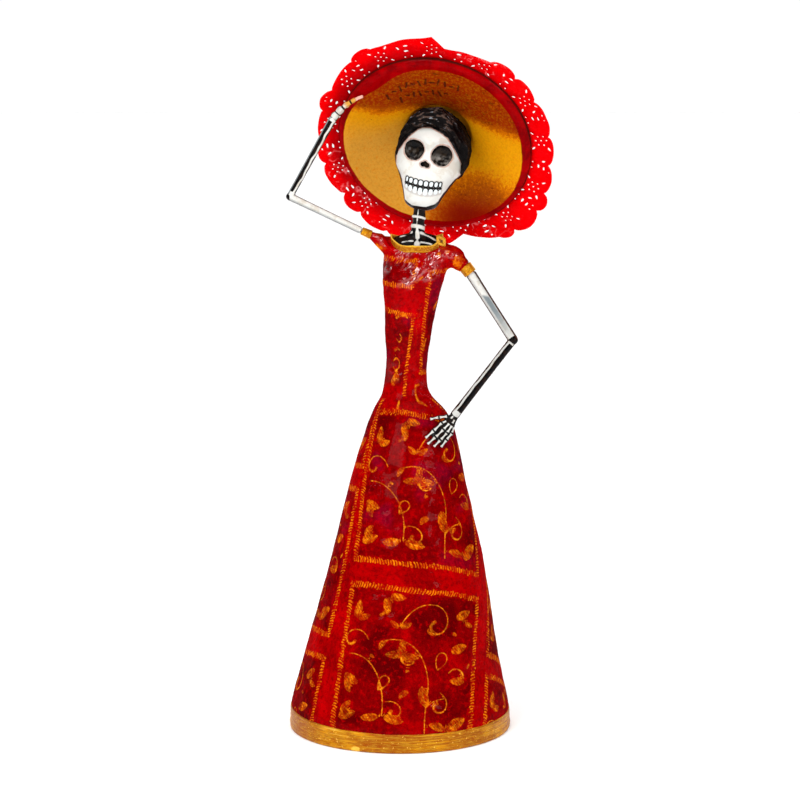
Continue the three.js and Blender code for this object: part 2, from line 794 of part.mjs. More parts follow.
const gold = 0xc88f2c;
const catrina = new THREE.Group();
catrina.add(
	piece( 'dress', makeDress(), 0xa8060c, 0.25, 0 ),
	piece( 'hem_band', makeHemBand(), gold, 0.5, 0.3 ),
	piece( 'neckline_band', makeNecklineBand(), gold, 0.4, 0.3 ),
	piece( 'right_cuff', makeCuff( rightCuff ), gold, 0.4, 0.3 ),
	piece( 'left_cuff', makeCuff( leftCuff ), gold, 0.4, 0.3 ),
	piece( 'neck_and_chest', makeNeckAndChest(), 0x14100f, 0.3, 0 ),
	piece( 'skull', makeSkull(), 0xefeae2, 0.3, 0 ),
	piece( 'hair', makeHair(), 0x24140f, 0.4, 0 ),
	piece( 'hat', hatSolid( 0 ), gold, 0.4, 0.3 ),
	piece( 'hat_lace', makeHatLace(), 0xe60a0c, 0.3, 0 ),
	piece( 'right_arm', makeRightArm(), 0xe8e5de, 0.3, 0 ),
	piece( 'left_arm', makeLeftArm(), 0xe8e5de, 0.3, 0 ),
);

export default catrina;
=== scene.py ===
"""Looks of a papier-mache catrina: a skeleton lady in a long painted gown and a wide hat with lace.

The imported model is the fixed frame. Each piece below is built in its place from the same measures,
in millimetres, and painted with its own finish.
"""

import math

import bmesh
import bpy
import numpy as np
from bpy.props import FloatProperty, FloatVectorProperty, IntProperty, PointerProperty
from bpy.types import Operator, Panel, PropertyGroup
from mathutils import Euler, Matrix, Vector, geometry, noise
from mathutils.bvhtree import BVHTree


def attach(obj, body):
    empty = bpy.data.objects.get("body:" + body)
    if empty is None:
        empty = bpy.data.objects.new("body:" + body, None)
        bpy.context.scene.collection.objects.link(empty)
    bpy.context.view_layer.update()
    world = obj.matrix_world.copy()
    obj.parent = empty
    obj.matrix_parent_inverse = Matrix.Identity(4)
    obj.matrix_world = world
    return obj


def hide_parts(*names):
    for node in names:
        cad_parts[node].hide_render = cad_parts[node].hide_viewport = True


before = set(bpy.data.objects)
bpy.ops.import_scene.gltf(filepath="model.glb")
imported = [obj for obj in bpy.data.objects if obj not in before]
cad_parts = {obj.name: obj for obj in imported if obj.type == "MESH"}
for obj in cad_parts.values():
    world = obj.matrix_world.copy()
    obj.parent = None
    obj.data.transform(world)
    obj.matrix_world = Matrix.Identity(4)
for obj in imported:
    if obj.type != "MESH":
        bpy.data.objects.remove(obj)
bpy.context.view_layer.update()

bl_info = {
    "name": "Papier-mache catrina",
    "version": (1, 0, 0),
    "blender": (4, 5, 0),
    "location": "3D View > Sidebar > Catrina",
    "description": "Builds and paints a papier-mache catrina figure on its packed frame",
    "category": "Add Mesh",
}

MM = 0.001
# A distance too great for any paint to lie there, in millimetres
FAR = 9.0
# The distance stored where a bone has no brown line near it
NO_LINE = 5.0
# Air left between one piece and the next, in millimetres
GAP = 0.3

# How many points run round each form
GOWN_SIDES = 200
SLEEVE_SIDES = 36
HEM_SIDES = 360
NECK_STRIP_SIDES = 160
NECK_LOOP_SIDES = 48
CUFF_SIDES = 72
NECK_SIDES = 110
SKULL_SIDES = 120

# Gown rings up its height: height, middle x, middle y, half width, half depth, dip of the front
GOWN_RINGS = [
    (0, 0, 0, 63.4, 63.4, 0),
    (14, 0, 0, 63.4, 63.4, 0),
    (38, 0.6, 0, 57.9, 57.6, 0),
    (98, 4.1, 0, 44.8, 43.6, 0),
    (145, 4.6, 0, 33.6, 32.4, 0),
    (174, 5.9, 0, 26.2, 24.6, 0),
    (186, 5.2, 0, 21, 19.4, 0),
    (196, 3.5, 0, 14, 12.6, 0),
    (211, 3.5, 0, 12.1, 10.2, 0),
    (243, 5.7, -0.4, 14.9, 11.6, 0),
    (263, 8, -1.2, 17.8, 13, 0),
    (275, 10, -0.4, 19.6, 11.4, 1),
    (281, 10.6, 0, 18, 10.4, 3),
    (285.4, 10.4, 0, 13.6, 9.4, 4.4),
]
# Heights between which the gown's relief changes: over the hem's strip, at the waist, under the bust
GOWN_PLAIN = (14, 18)
GOWN_WAIST = (186, 206)
GOWN_BUST = (246, 260)

# Sleeves from their root inside the gown to the cuff: x, y, z, radius
RIGHT_SLEEVE = [
    (2, 0, 277, 8.6), (-8.4, -0.3, 282.6, 5.6), (-13.2, -0.5, 285.2, 3.9), (-17.9, -0.7, 287.8, 2.6),
]
LEFT_SLEEVE = [(20, 0, 275, 9), (30, -0.3, 274.4, 7), (34, -0.5, 271.5, 5.3), (37.8, -0.7, 268.5, 4)]

# The printed paper on the gown lies in panels with plain bands between them. Places are on the
# skirt rolled out flat: across from the front's middle, and up. A panel has its middle, its lean in
# degrees, and the column that it belongs to. The skirt is taken as a cone: the share of a turn that
# it takes when it is flat, the radius that it loses with each millimetre up, the radius at its foot.
SKIRT_SLOPE = 0.209
SKIRT_WIDTH_LOSS = 0.214
SKIRT_FOOT = 63.4
SKIRT_PANELS = [
    (11.2, 147.8, 4.2, "front"),
    (4, 49.5, 4.2, "front"),
    (-64.1, 212.4, 9.5, "side"),
    (-80.3, 115.8, 9.5, "side"),
    (-95.7, 19.2, 9.5, "side"),
    (116.7, 187.4, 8, "side"),
    (103.1, 90.4, 8, "side"),
    (89.8, -5.2, 8, "side"),
    (0, 214, -2, "back"),
    (-2, 116, -2, "back"),
    (-4, 18, -2, "back"),
]

# The bodice is rolled out round this radius. It starts at this height, just over the skirt's print.
BODICE_ROLL = 16
BODICE_FOOT = 194
SKIRT_PRINT_TOP = 191
# Panels on the bodice: across and up of the middle, lean, half width, half height
BODICE_PANELS = [
    (-20.3, 214, 5.7, 22, 32),
    (-20.5, 267.2, 2, 21.6, 8.4),
    (31.5, 238.2, -2.6, 20.5, 30.6),
]

# Neck and chest: the x and z that their rings start from, and how far the neckline dips in front
NECK_FOOT = (9.6, 285.4)
NECK_DIP = 4.2
# Their rings: height, x and y of the middle, half width, half depth, share of the neckline's dip
NECK_RINGS = [
    (-6.6, 0, 0, 13.2, 9.4, 0),
    (-0.6, 0, 0, 13.2, 9.4, 0.85),
    (0.9, 0, 0, 12.7, 9, 1),
    (2.2, 0.2, -0.4, 9.6, 6.9, 0.8),
    (3.3, 0.2, -1.2, 5.4, 4.9, 0.4),
    (5.7, 0.5, -2.2, 4, 3.9, 0.1),
    (9, 0.9, -3.5, 3.8, 3.8, 0),
    (13.3, 1.3, -5.2, 3.8, 3.8, 0),
    (20, 1.9, -7, 3.8, 3.8, 0),
    (26, 2.5, -8.4, 3.8, 3.8, 0),
]

# Painted bones on the chest and neck: points x, y, z and a half width
CHEST_BONES = [
    ([(9.6, -6.6, 293.4), (9.9, -6, 289.8)], 0.7),
    ([(9.9, -6, 289), (10, -6.5, 286.6)], 1.35),
    ([(9.9, -6.7, 286), (9.8, -7.6, 284)], 0.45),
    ([(9.7, -8.2, 283.2), (9.6, -9.3, 281.8)], 1.7),
    ([(6.6, -4.5, 289.2), (4, -3.6, 288.4), (0.2, -2, 286.4)], 0.7),
    ([(12, -5.4, 288.8), (15.6, -3.8, 287.6), (20.2, -4, 284.8)], 0.8),
    ([(1.2, -6.3, 283.9), (4, -6.8, 284.6), (7.2, -7, 284.5)], 0.6),
    ([(12, -7.6, 283.9), (15, -7.6, 283.6), (18, -7, 282.4)], 0.65),
]
# Bands round the neck: height and half width. They lie above the height where the neck starts.
NECK_BANDS = [(292.6, 1.15), (298.2, 0.75), (304.6, 0.6)]
NECK_START = 289.6
# Middle line of the neck: its places across and from front to back, by height
NECK_ACROSS = [(285, 9.7), (291, 10.1), (298.7, 10.9), (312.7, 12.2)]
NECK_DEPTH = [(288, -1), (291, -2.2), (298.7, -5.2), (312.7, -8.6)]

# Head: the chin's place, and the lean to the viewer's right with the turn to the viewer's left
CHIN = Vector((12.3, -12, 303.6))
HEAD_LEAN = Matrix.Rotation(math.radians(10), 3, "Y")
HEAD_TURN = Matrix.Rotation(math.radians(-6), 3, "Z")
HEAD_FRAME = np.array(HEAD_LEAN @ HEAD_TURN)

# Skull rings up from the chin: height, forward place of the middle, half width, half depth
SKULL_RINGS = [
    (0, 11.4, 5, 5.6),
    (2, 11, 8.6, 9.2),
    (9, 8.4, 11.6, 12.8),
    (17, 4.4, 15.6, 17.2),
    (25, 1, 19.8, 20.8),
    (32, 0, 20, 21.8),
    (39, -0.6, 17.4, 20.6),
    (44, -0.8, 12.6, 16),
    (47, -1, 7, 9),
]
MOUTH_RIDGE = {"at": (0, 8.6, 14.6), "size": (13.6, 13.6, 7.6)}

# Features of the face, across and up from the chin
EYES = [(-8.2, 32.5, 5.8, 5.7), (7.4, 31.8, 5.7, 5.8)]
NOSE_LOBES = [(-1.9, 25.5, 1.6, 1.5), (0.5, 25.3, 1.7, 1.6), (-0.7, 25.9, 1.5, 1.9)]
TOOTH_EDGES = [-10.4, -8.4, -5.6, -2.7, 0.3, 3.3, 6.1, 8.6, 10.4]

# Edge of the white face, beyond which the head is painted black
FACE_EDGE = [
    (-18, 29.6), (-14.7, 35.4), (-11.9, 39.8), (-8.9, 43.7), (-6.3, 45.3), (-2, 45.9), (4.4, 44),
    (8.7, 41.7), (13.3, 36.6), (16.1, 32.8), (18.6, 29), (19.5, 25.6), (18.2, 21.7), (15.8, 18), (13.2, 13.1),
    (11.1, 8.2), (8.3, 4.6), (3.9, 2.3), (-4.1, 1.9), (-9, 4.2), (-10.9, 10), (-12.5, 14.3),
    (-14.6, 18), (-17.6, 22.5), (-18.5, 26.5),
]

# Hair: a cap on the back of the skull and a roll round the face, from its left to its right, each
# station with its place across and up and its radius
HAIR_CAP = {"at": (1.4, -8, 33.4), "size": (20.4, 31.6, 24)}
HAIR_ROLL = [
    (-18.6, 27, 1), (-17.4, 33, 1.7), (-15.4, 40, 3), (-12.8, 45.4, 4.3), (-8.4, 50, 5.3), (-1.2, 51.9, 5.9),
    (5.4, 48.4, 4.8), (10.4, 44.2, 4.1), (14.2, 40.6, 4), (17.5, 36.6, 3.7), (19.3, 32, 2.9), (19.8, 27, 1.8),
    (18.8, 22.6, 1),
]
# How far the hair reaches from its middle, by the angle in degrees from the viewer's right
HAIR_REACH = [
    (-60, 20), (-20, 21.6), (14, 22), (35, 21.6), (48, 21.8), (63, 22.2), (79, 23.6), (93, 26.2), (110, 25.7),
    (124, 24), (138, 22.3), (200, 21), (240, 20),
]
# Middle of the hair, how far forward its roll lies, and the cap's foremost and lowest reach
HAIR_MIDDLE = (0.7, 31.4)
HAIR_FORWARD = 10
HAIR_FRONT = 8.6
HAIR_FOOT = 19.2

# Hat: a shallow bowl round an axis that runs back into its crown
HAT_MIDDLE = Vector((19.2, 2, 337.4))
HAT_AXIS = Vector((0.205, 0.853, 0.48)).normalized()
HAT_FRAME = np.array(Vector((0, 1, 0)).rotation_difference(HAT_AXIS).to_matrix())
CROWN_INSIDE = [(0.2, 32.4), (12, 31.4), (18.6, 22), (19.2, 16.4)]
BRIM_INSIDE = [(20.4, 12.4), (34, 7), (44, 3.2), (51.6, 0.3)]
BRIM_EDGE = [(54.6, 0.6), (56.1, 2.2), (55.6, 3.7)]
BRIM_OUTSIDE = [(50, 4.9), (44, 6.9), (34, 10.7), (28, 13.6), (25.4, 17)]
CROWN_OUTSIDE = [(24.2, 23), (20, 31.6), (12, 35), (0.2, 36)]
# Rings between two points of the outline. They lie closer over the marked brim, whose two rows of
# short pressed strokes have a height and a half length each, with this much from stroke to stroke.
HAT_STEPS = 7
MARK_ROWS = [(39, 23), (30.5, 16)]
MARK_PITCH = 3.7

# Hand-painted edge of the gold inside the hat: its radius by the angle in degrees
GOLD_EDGE = [
    (0, 50.6), (30, 50), (60, 49.6), (90, 49.4), (110, 48.4), (130, 46.4), (148, 50), (170, 52.4),
    (200, 52.6), (240, 51.2), (270, 51), (300, 52), (330, 52.2), (360, 50.6),
]

# Lace lobes round the brim: the angle where a lobe starts, the ruffle's reach there, and how far
# the lobe bulges past the straight line to the next one
LACE_LOBES = [
    (-76.5, 62.2, 0.3), (-60, 70.8, 3.3), (-51, 70.8, 4.6), (-35, 70.8, 4.2), (-25, 68.8, 3.4),
    (-7.5, 66.2, 3.4), (7.5, 65.9, 4), (29, 66.7, 3.2), (43.5, 65.6, 4), (58.5, 65.8, 0),
    (82.5, 62.8, 0), (88.5, 70.8, 0.6), (119.5, 68.8, 3.4), (132, 68, 1.8), (151, 66.2, 4),
    (165, 66.9, 2.4), (183, 67, 3.2), (195, 67.1, 4.8), (214, 66.3, 3.9), (227, 68.3, 4.2),
    (243, 69.6, 3), (260, 68, 2.6), (276.5, 67.2, 0),
]
# Glossy patches of the lace, with painted highlights on their creases: angle and spread in degrees
LACE_SHINE = [(62, 14), (205, 16), (228, 12), (262, 14), (285, 16)]
# Radii of the lace: its inner edge, its full flare, and a reach that no lobe passes
LACE_GLUED = 49.5
LACE_FULL_FLARE = 69
LACE_OUTMOST = 76
# Its height over the brim, the depth that it flares by (to the front, so below nothing), its waves
LACE_LIFT = 0.35
LACE_FLARE = -2
LACE_WAVES = 11
# Punched flowers: the radius of the ring through them, a petal's way from the middle, a dot's width
LACE_FLOWERS = 61.6
LACE_PETAL = 3.1
LACE_DOT = 1.05
# Holes in and beside a flower, and half way to the next: along the ring, outward, lean, length, width
LACE_BESIDE = [
    (0, 0, 0, LACE_DOT, LACE_DOT),
    (-4.9, 4.6, -0.8, 2.5, 1.2), (-5.3, -4.6, math.pi + 0.8, 2.4, 1.1),
    (4.9, 4.6, 0.8, 2.5, 1.2), (5.3, -4.6, math.pi - 0.8, 2.4, 1.1),
]
LACE_BETWEEN = [
    (0, 2.2, math.pi / 2, 3, 1.15), (0.3, -1.1, -math.pi / 2, 2.8, 1.3),
    (-1.6, 5.4, 0, LACE_DOT, LACE_DOT), (-2.1, -4.8, 0, 1, 1),
    (1.6, 5.4, 0, LACE_DOT, LACE_DOT), (2.1, -4.8, 0, 1, 1),
    (4.6, 1.6, 0.5, 2.4, 1.15),
]

# Gold strips. The hem's top edge is lowest at an angle in degrees. The neckline's ends in the loop.
HEM = {"height": 11.8, "wide": 64.8, "thick": 1.2, "taper": 0.4, "lean": 1.2, "lowest": -50}
NECK_STRIP = {"x": 9.6, "z": 284.2, "wide": 13.8, "deep": 10, "dip": 4.2, "height": 4.2, "thick": 0.8}
NECK_LOOP = {"at": (23.4, -2.6, 284.1), "long": 5, "tall": 5, "deep": 3, "slant": 0.7}
CUFFS = {
    "right": {
        "inner": np.array((-16.6, -0.6, 287.3)), "outer": np.array((-21.9, -1, 289.6)), "radii": (2.7, 2.3),
    },
    "left": {
        "inner": np.array((37, -0.6, 269.4)), "outer": np.array((40.4, -1, 265.2)), "radii": (4.1, 3.9),
    },
}
CUFF_WALL = 0.7

# The elbow's knob and the black round it, as shares of the lower arm's radius
ELBOW_KNOB = 1.14
ELBOW_BLACK = 1.25
# Arms: from the cuff to the elbow and on to the wrist, radii at the ends of each half
ARMS = {
    "right": {
        "elbow": np.array((-62.6, -5, 309.4)), "wrist": np.array((-37.9, -9.6, 353.5)),
        "upper": (1.95, 2.2), "lower": (1.95, 2.3), "depth": 1.2,
    },
    "left": {
        "elbow": np.array((64.8, -5, 227.4)), "wrist": np.array((31.2, -17.4, 185.7)),
        "upper": (3.1, 2.9), "lower": (2.5, 2.7), "depth": 0.86,
    },
}

# Hands in their own frame: along the palm and across it, knuckle and tip of each finger
FINGERS = [
    ((7.9, -2.7), (19.7, -5.2)),
    ((10.2, 0.3), (21.6, -2.1)),
    ((10.4, 3.2), (20.6, 1.7)),
    ((8.8, 5.6), (18.4, 5.3)),
]
THUMB = ((3, -2.7), (10.4, -9.4))
# Palm: along, across, half width, half thickness. Knobs of the raised wrist: along and radius
PALM_RINGS = [
    (-1, 0, 2.4, 2), (3, 0.4, 3, 1.8), (8, 1.2, 4.6, 1.4), (11, 1.5, 5.2, 1), (14, 1.1, 5.4, 0.7),
    (17, 0.6, 5, 0.4),
]
WRIST_KNOBS = ((2.2, 2.5), (6.6, 2.4), (11.2, 1.8))
FINGER_RADIUS = 1.15
# The lowered hand: directions along and across it, height off the gown, painted bones of its palm
HIP_ALONG = Vector((-0.64, 0, -0.766))
HIP_ACROSS = Vector((0.766, 0, -0.643))
HIP_LIFT = 2.2
HIP_BONES = [((0.4, -0.5), (3.2, -0.6)), ((1.6, 1.4), (4.6, 2))]
# The raised hand: slope in degrees at its wrist and at a length from there, ends of painted bones
BRIM_BEND = (55, 18, 21.8)
BRIM_BONES = [(0.6, 3.8), (4.5, 8.2), (9.4, 13.6), (14.6, 17), (17.3, 23)]

# The printed panels' crosswise borders slope more than their sides do. The back's panels keep this
# far from the others and the bodice's from its foot. Off every panel a place counts as this far out.
PANEL_SKEW = 0.03
PANEL_SPACE = 5
OFF_PANEL = -40.0

# Camera and light, in metres
CAMERA_PLACE = (0, -1.5, 0.416)
CAMERA_PITCH = 8.5
CAMERA_LENS = 118.35
SENSOR_WIDTH = 36
LIT_PLACE = (0, 0, 0.22)
# Lamps: place, size and power
LAMPS = {"key_light": ((-0.9, -1.5, 1.15), 0.9, 25), "fill_light": ((1.2, -1.2, 0.8), 0.5, 10)}

# Floor, in millimetres: half its width and its height, just under the figure
FLOOR_HALF = 9000
FLOOR_UP = -0.3


# Forms, in millimetres

def measure_at(stations, column, place):
    """One measure of a list of stations at a given place, on a smooth curve through them."""
    last = len(stations) - 1
    i = 0
    while i < last - 1 and place > stations[i + 1][0]:
        i += 1

    def slope(k):
        before = stations[max(k - 1, 0)]
        after = stations[min(k + 1, last)]
        return (after[column] - before[column]) / (after[0] - before[0])

    span = stations[i + 1][0] - stations[i][0]
    t = (place - stations[i][0]) / span
    start = stations[i][column]
    end = stations[i + 1][column]
    lift = t * t * (3 - 2 * t)
    rise = slope(i) * span * t * (1 - t) ** 2
    fall = slope(i + 1) * span * t * t * (1 - t)
    return start + (end - start) * lift + rise - fall


def measures(stations, column, places):
    """The same measure at many places at once."""
    table = np.linspace(stations[0][0], stations[-1][0], 600)
    values = [measure_at(stations, column, place) for place in table]
    return np.interp(places, table, values)


def smooth_path(stations, steps):
    """Points on a smooth curve through stations, all of their numbers blended alike."""
    stations = np.array(stations, dtype=float)
    path = []
    for i in range(len(stations) - 1):
        before = stations[max(i - 1, 0)]
        start = stations[i]
        end = stations[i + 1]
        after = stations[min(i + 2, len(stations) - 1)]
        for t in np.linspace(0, 1, steps, endpoint=False):
            path.append(
                start + 0.5 * t * (end - before)
                + t * t * (before - 2.5 * start + 2 * end - 0.5 * after)
                + t ** 3 * (1.5 * (start - end) + 0.5 * (after - before))
            )
    path.append(stations[-1])
    return np.array(path)


def turns(count):
    return np.arange(count) / count * math.tau


def columns(*values):
    """Numbers or rows of numbers side by side, as places or as paint measures."""
    return np.stack(np.broadcast_arrays(*values), axis=-1).astype(float)


def oval(sides, x, y, z, wide, deep, dip=0):
    """A level oval whose front dips."""
    angle = turns(sides)
    return columns(x + wide * np.cos(angle), y + deep * np.sin(angle), z + dip * np.minimum(np.sin(angle), 0))


def bell(value, middle, spread):
    """1 at the middle, falling softly to nothing on both sides of it."""
    return np.exp(-((value - middle) / spread) ** 2)


def ripple(angle, size, height):
    """A smooth random height on a ring, the more lively the larger `size` is."""
    return noise.noise(Vector((math.cos(angle) * size, math.sin(angle) * size, height)))


def ahead_of(start, heading, length):
    """The flat place at some length from another, in a direction given in degrees."""
    turn = math.radians(heading)
    return start[0] + math.cos(turn) * length, start[1] + math.sin(turn) * length


def lofted(rings, closed=False):
    """Points and faces of a skin over rings of equally many points. Open ends are filled."""
    rings = [np.asarray(ring, dtype=float) for ring in rings]
    sides = len(rings[0])
    faces = []
    for i in range(len(rings) if closed else len(rings) - 1):
        low = i * sides
        high = (i + 1) % len(rings) * sides
        for k in range(sides):
            after = (k + 1) % sides
            faces.append((low + k, low + after, high + after, high + k))
    if not closed:
        top = (len(rings) - 1) * sides
        faces.append(tuple(reversed(range(sides))))
        faces.append(tuple(top + k for k in range(sides)))
    return np.concatenate(rings), faces


def joined(forms):
    """Points and faces of several forms as one."""
    points = []
    faces = []
    count = 0
    for form_points, form_faces in forms:
        points.append(form_points)
        faces.extend(tuple(count + k for k in face) for face in form_faces)
        count += len(form_points)
    return np.concatenate(points), faces


def limb(stations, sides, depth=1):
    """A round limb along stations of x, y, z and radius, as deep toward the back as `depth` says."""
    stations = np.asarray(stations, dtype=float)
    rings = []
    for i, station in enumerate(stations):
        before = stations[max(i - 1, 0)][:3]
        after = stations[min(i + 1, len(stations) - 1)][:3]
        direction = Vector(after - before).normalized()
        side = np.array(Vector((0, 1, 0)).cross(direction).normalized())
        back = np.cross(np.array(direction), side)
        angle = turns(sides)[:, None]
        rings.append(
            station[:3]
            + side * np.cos(angle) * station[3]
            + back * np.sin(angle) * station[3] * depth
        )
    return lofted(rings)


def ball(middle, size, sides=24):
    """A closed ellipsoid."""
    x, y, z = middle
    wide, deep, tall = size
    return lofted([
        oval(sides, x, y, z - tall * math.cos(polar), wide * math.sin(polar), deep * math.sin(polar))
        for polar in np.linspace(0, math.pi, sides)[1:-1]
    ])


def new_object(name, points, faces):
    mesh = bpy.data.meshes.new(name)
    mesh.from_pydata((np.asarray(points) * MM).tolist(), [], [tuple(face) for face in faces])
    work = bmesh.new()
    work.from_mesh(mesh)
    bmesh.ops.recalc_face_normals(work, faces=work.faces)
    work.to_mesh(mesh)
    work.free()
    built = bpy.data.objects.new(name, mesh)
    bpy.context.scene.collection.objects.link(built)
    return built


def places_of(piece):
    places = np.empty(len(piece.data.vertices) * 3)
    piece.data.vertices.foreach_get("co", places)
    return places.reshape(-1, 3) / MM


def normals_of(piece):
    normals = np.empty(len(piece.data.vertices) * 3)
    piece.data.vertex_normals.foreach_get("vector", normals)
    return normals.reshape(-1, 3)


def move_to(piece, places):
    piece.data.vertices.foreach_set("co", (places * MM).ravel())
    piece.data.update()


def keep(piece, name, values):
    """Stores paint measures on a piece: one number for each point, or three."""
    values = np.asarray(values, dtype=float)
    kind = "FLOAT_VECTOR" if values.ndim == 2 else "FLOAT"
    field = "vector" if values.ndim == 2 else "value"
    store = piece.data.attributes.new(name, kind, "POINT")
    store.data.foreach_set(field, values.ravel())


def remeshed(name, form, grain, passes):
    """One even skin round closed forms that overlap, calmed a few times."""
    draft = new_object(name + "_draft", *form)
    wrap = draft.modifiers.new("Wrap", "REMESH")
    wrap.mode = "VOXEL"
    wrap.voxel_size = grain * MM
    calm = draft.modifiers.new("Calm", "SMOOTH")
    calm.factor = 0.5
    calm.iterations = passes
    graph = bpy.context.evaluated_depsgraph_get()
    mesh = bpy.data.meshes.new_from_object(draft.evaluated_get(graph))
    mesh.name = name
    bpy.data.objects.remove(draft)
    built = bpy.data.objects.new(name, mesh)
    bpy.context.scene.collection.objects.link(built)
    return built


def lumps(places, size, octaves=2, seed=0.0):
    """Smooth random heights between about -1 and 1, as large as `size` across."""
    shift = Vector((seed * 17.3, seed * 9.1, seed * 5.7))
    return np.array([
        noise.fractal(Vector(place) / size + shift, 1.0, 2.0, octaves)
        for place in places
    ])


def far(places):
    return np.full(len(places), FAR)


def fade(value, low, high):
    """Goes smoothly from 0 to 1 between two values."""
    t = np.clip((value - low) / (high - low), 0, 1)
    return t * t * (3 - 2 * t)


def finish_piece(piece, node, material):
    """Paints a piece, smooths it, fixes it to the root body and hides the frame's part that it stands for."""
    piece.data.materials.clear()
    piece.data.materials.append(material)
    piece.data.polygons.foreach_set("use_smooth", np.ones(len(piece.data.polygons), dtype=bool))
    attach(piece, "root")
    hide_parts(node)


def in_hat(radius, angle, depth):
    """A place on the hat: distance from its axis, angle from the viewer's right, depth to the crown."""
    return columns(radius * np.cos(angle), depth, radius * np.sin(angle)) @ HAT_FRAME.T + np.array(HAT_MIDDLE)


def hat_measures(places):
    """Distance from the hat's axis, angle and depth of places."""
    local = (places - np.array(HAT_MIDDLE)) @ HAT_FRAME
    return np.hypot(local[:, 0], local[:, 2]), np.arctan2(local[:, 2], local[:, 0]), local[:, 1]


def in_head(across, forward, up):
    """A place on the head, from its measures across, forward and up from the chin."""
    return columns(across, -forward, up) @ HEAD_FRAME.T + np.array(CHIN)


def head_measures(places):
    """Places as across, forward and up from the chin."""
    local = (places - np.array(CHIN)) @ HEAD_FRAME
    return local[:, 0], -local[:, 1], local[:, 2]


def gown_front(x, z):
    """Depth of the gown's front at a place seen from the front."""
    across = (x - measure_at(GOWN_RINGS, 1, z)) / measure_at(GOWN_RINGS, 3, z)
    across = max(-0.98, min(0.98, across))
    return measure_at(GOWN_RINGS, 2, z) - measure_at(GOWN_RINGS, 4, z) * math.sqrt(1 - across * across)


# Painted strokes on a panel of the gown. A stroke is a list of points, each across, up and half width.

def vine_stroke(start, heading, length, bend, width=0.32, end_width=None, steps=9):
    """A line that bends evenly. Gives the stroke and where and in which direction it ends."""
    end_width = width if end_width is None else end_width
    place = start
    stroke = [(*place, width)]
    for i in range(steps):
        heading += bend / steps
        place = ahead_of(place, heading, length / steps)
        stroke.append((*place, width + (end_width - width) * (i + 1) / steps))
    return stroke, place, heading


def leaf_stroke(start, heading, length, bend=30):
    """A pointed leaf, broadest before its middle."""
    stroke, _, _ = vine_stroke(start, heading, length, bend, steps=7)
    widest = length * 0.24
    return [
        (x, y, 0.15 + widest * 2.75 * (i / 7) ** 0.6 * (1 - i / 7) ** 0.9)
        for i, (x, y, _) in enumerate(stroke)
    ]


def curl_stroke(start, heading, size, hand):
    """A spiral that winds up to a round blob."""
    place = start
    stroke = [(*place, 0.25)]
    for t in np.arange(13) / 13:
        heading += hand * (14 + 22 * t)
        place = ahead_of(place, heading, size * (0.36 - 0.2 * t))
        stroke.append((*place, 0.25 + 0.75 * t ** 1.5))
    return [*stroke, (*place, 1.3)]


def loop_stroke(start, heading, size):
    """A teardrop drawn as an outline."""
    stroke = []
    for turn in np.linspace(0, math.tau, 15):
        middle = ahead_of(start, heading, size * (1 - math.cos(turn)) / 2)
        aside = size * 0.42 * math.sin(turn) * math.sin(turn / 2)
        stroke.append((*ahead_of(middle, heading + 90, aside), 0.3))
    return stroke


def blossom_strokes(start, heading, size):
    """Three broad leaves that meet, with a hook below them."""
    strokes = []
    for side in (-80, 6, 84):
        strokes.append(leaf_stroke(ahead_of(start, heading + side, 1.4), heading + side, size, side / 6))
    strokes.append(vine_stroke(start, heading + 170, size * 1.3, 150, 0.7, 0.3)[0])
    x, y = ahead_of(start, heading - 150, size * 1.1)
    strokes.append([(x, y, 0.9), (x + 0.8, y + 0.3, 0.6)])
    return strokes


# Strokes of one printed panel, from its middle. A leaf has its foot, heading, length and bend.
PANEL_LEAVES = [
    ((11.6, -21), 122, 11, -26), ((1, -15), 190, 6, 60), ((-36, -9), 330, 9.5, 16), ((-35, -12), 292, 7, 20),
    ((-36, -32), 12, 10, 16), ((-35, -29), 62, 8, -20), ((-35, 25), 70, 9, 20), ((-33, 24), 8, 7, 20),
    ((-18, 36), 292, 9, -20), ((-15, 38), 350, 8, 14), ((-7, 20.5), 24, 6, 16), ((-9.4, 20.5), 150, 6, -16),
    ((8, 21), 330, 6, 16), ((33, -4.5), 196, 9, -20), ((24, 11), 12, 10, 10), ((26, -35), 52, 13, -20),
    ((23, -34), 158, 9, 20), ((25, 29), 24, 10, 16), ((31, 27), 340, 6, 16),
]
# A curl has its foot, heading, size and hand, and a loop its foot, heading and size
PANEL_CURLS = [((19, -13), 340, 7, -1), ((-10, -21), 20, 6, -1), ((-25, 12), 110, 8, 1)]
PANEL_LOOPS = [((-15, -15), 62, 8.5), ((16, 0), 72, 10)]
PANEL_DOTS = [
    [(-20, 27, 0.9), (-18.6, 27.8, 0.7)], [(-22, 3, 0.8), (-20.8, 2.2, 0.6)],
    [(24, 20, 0.9), (25.4, 19.4, 0.6)], [(36, 4, 0.8), (35.2, 2.6, 0.6)],
]


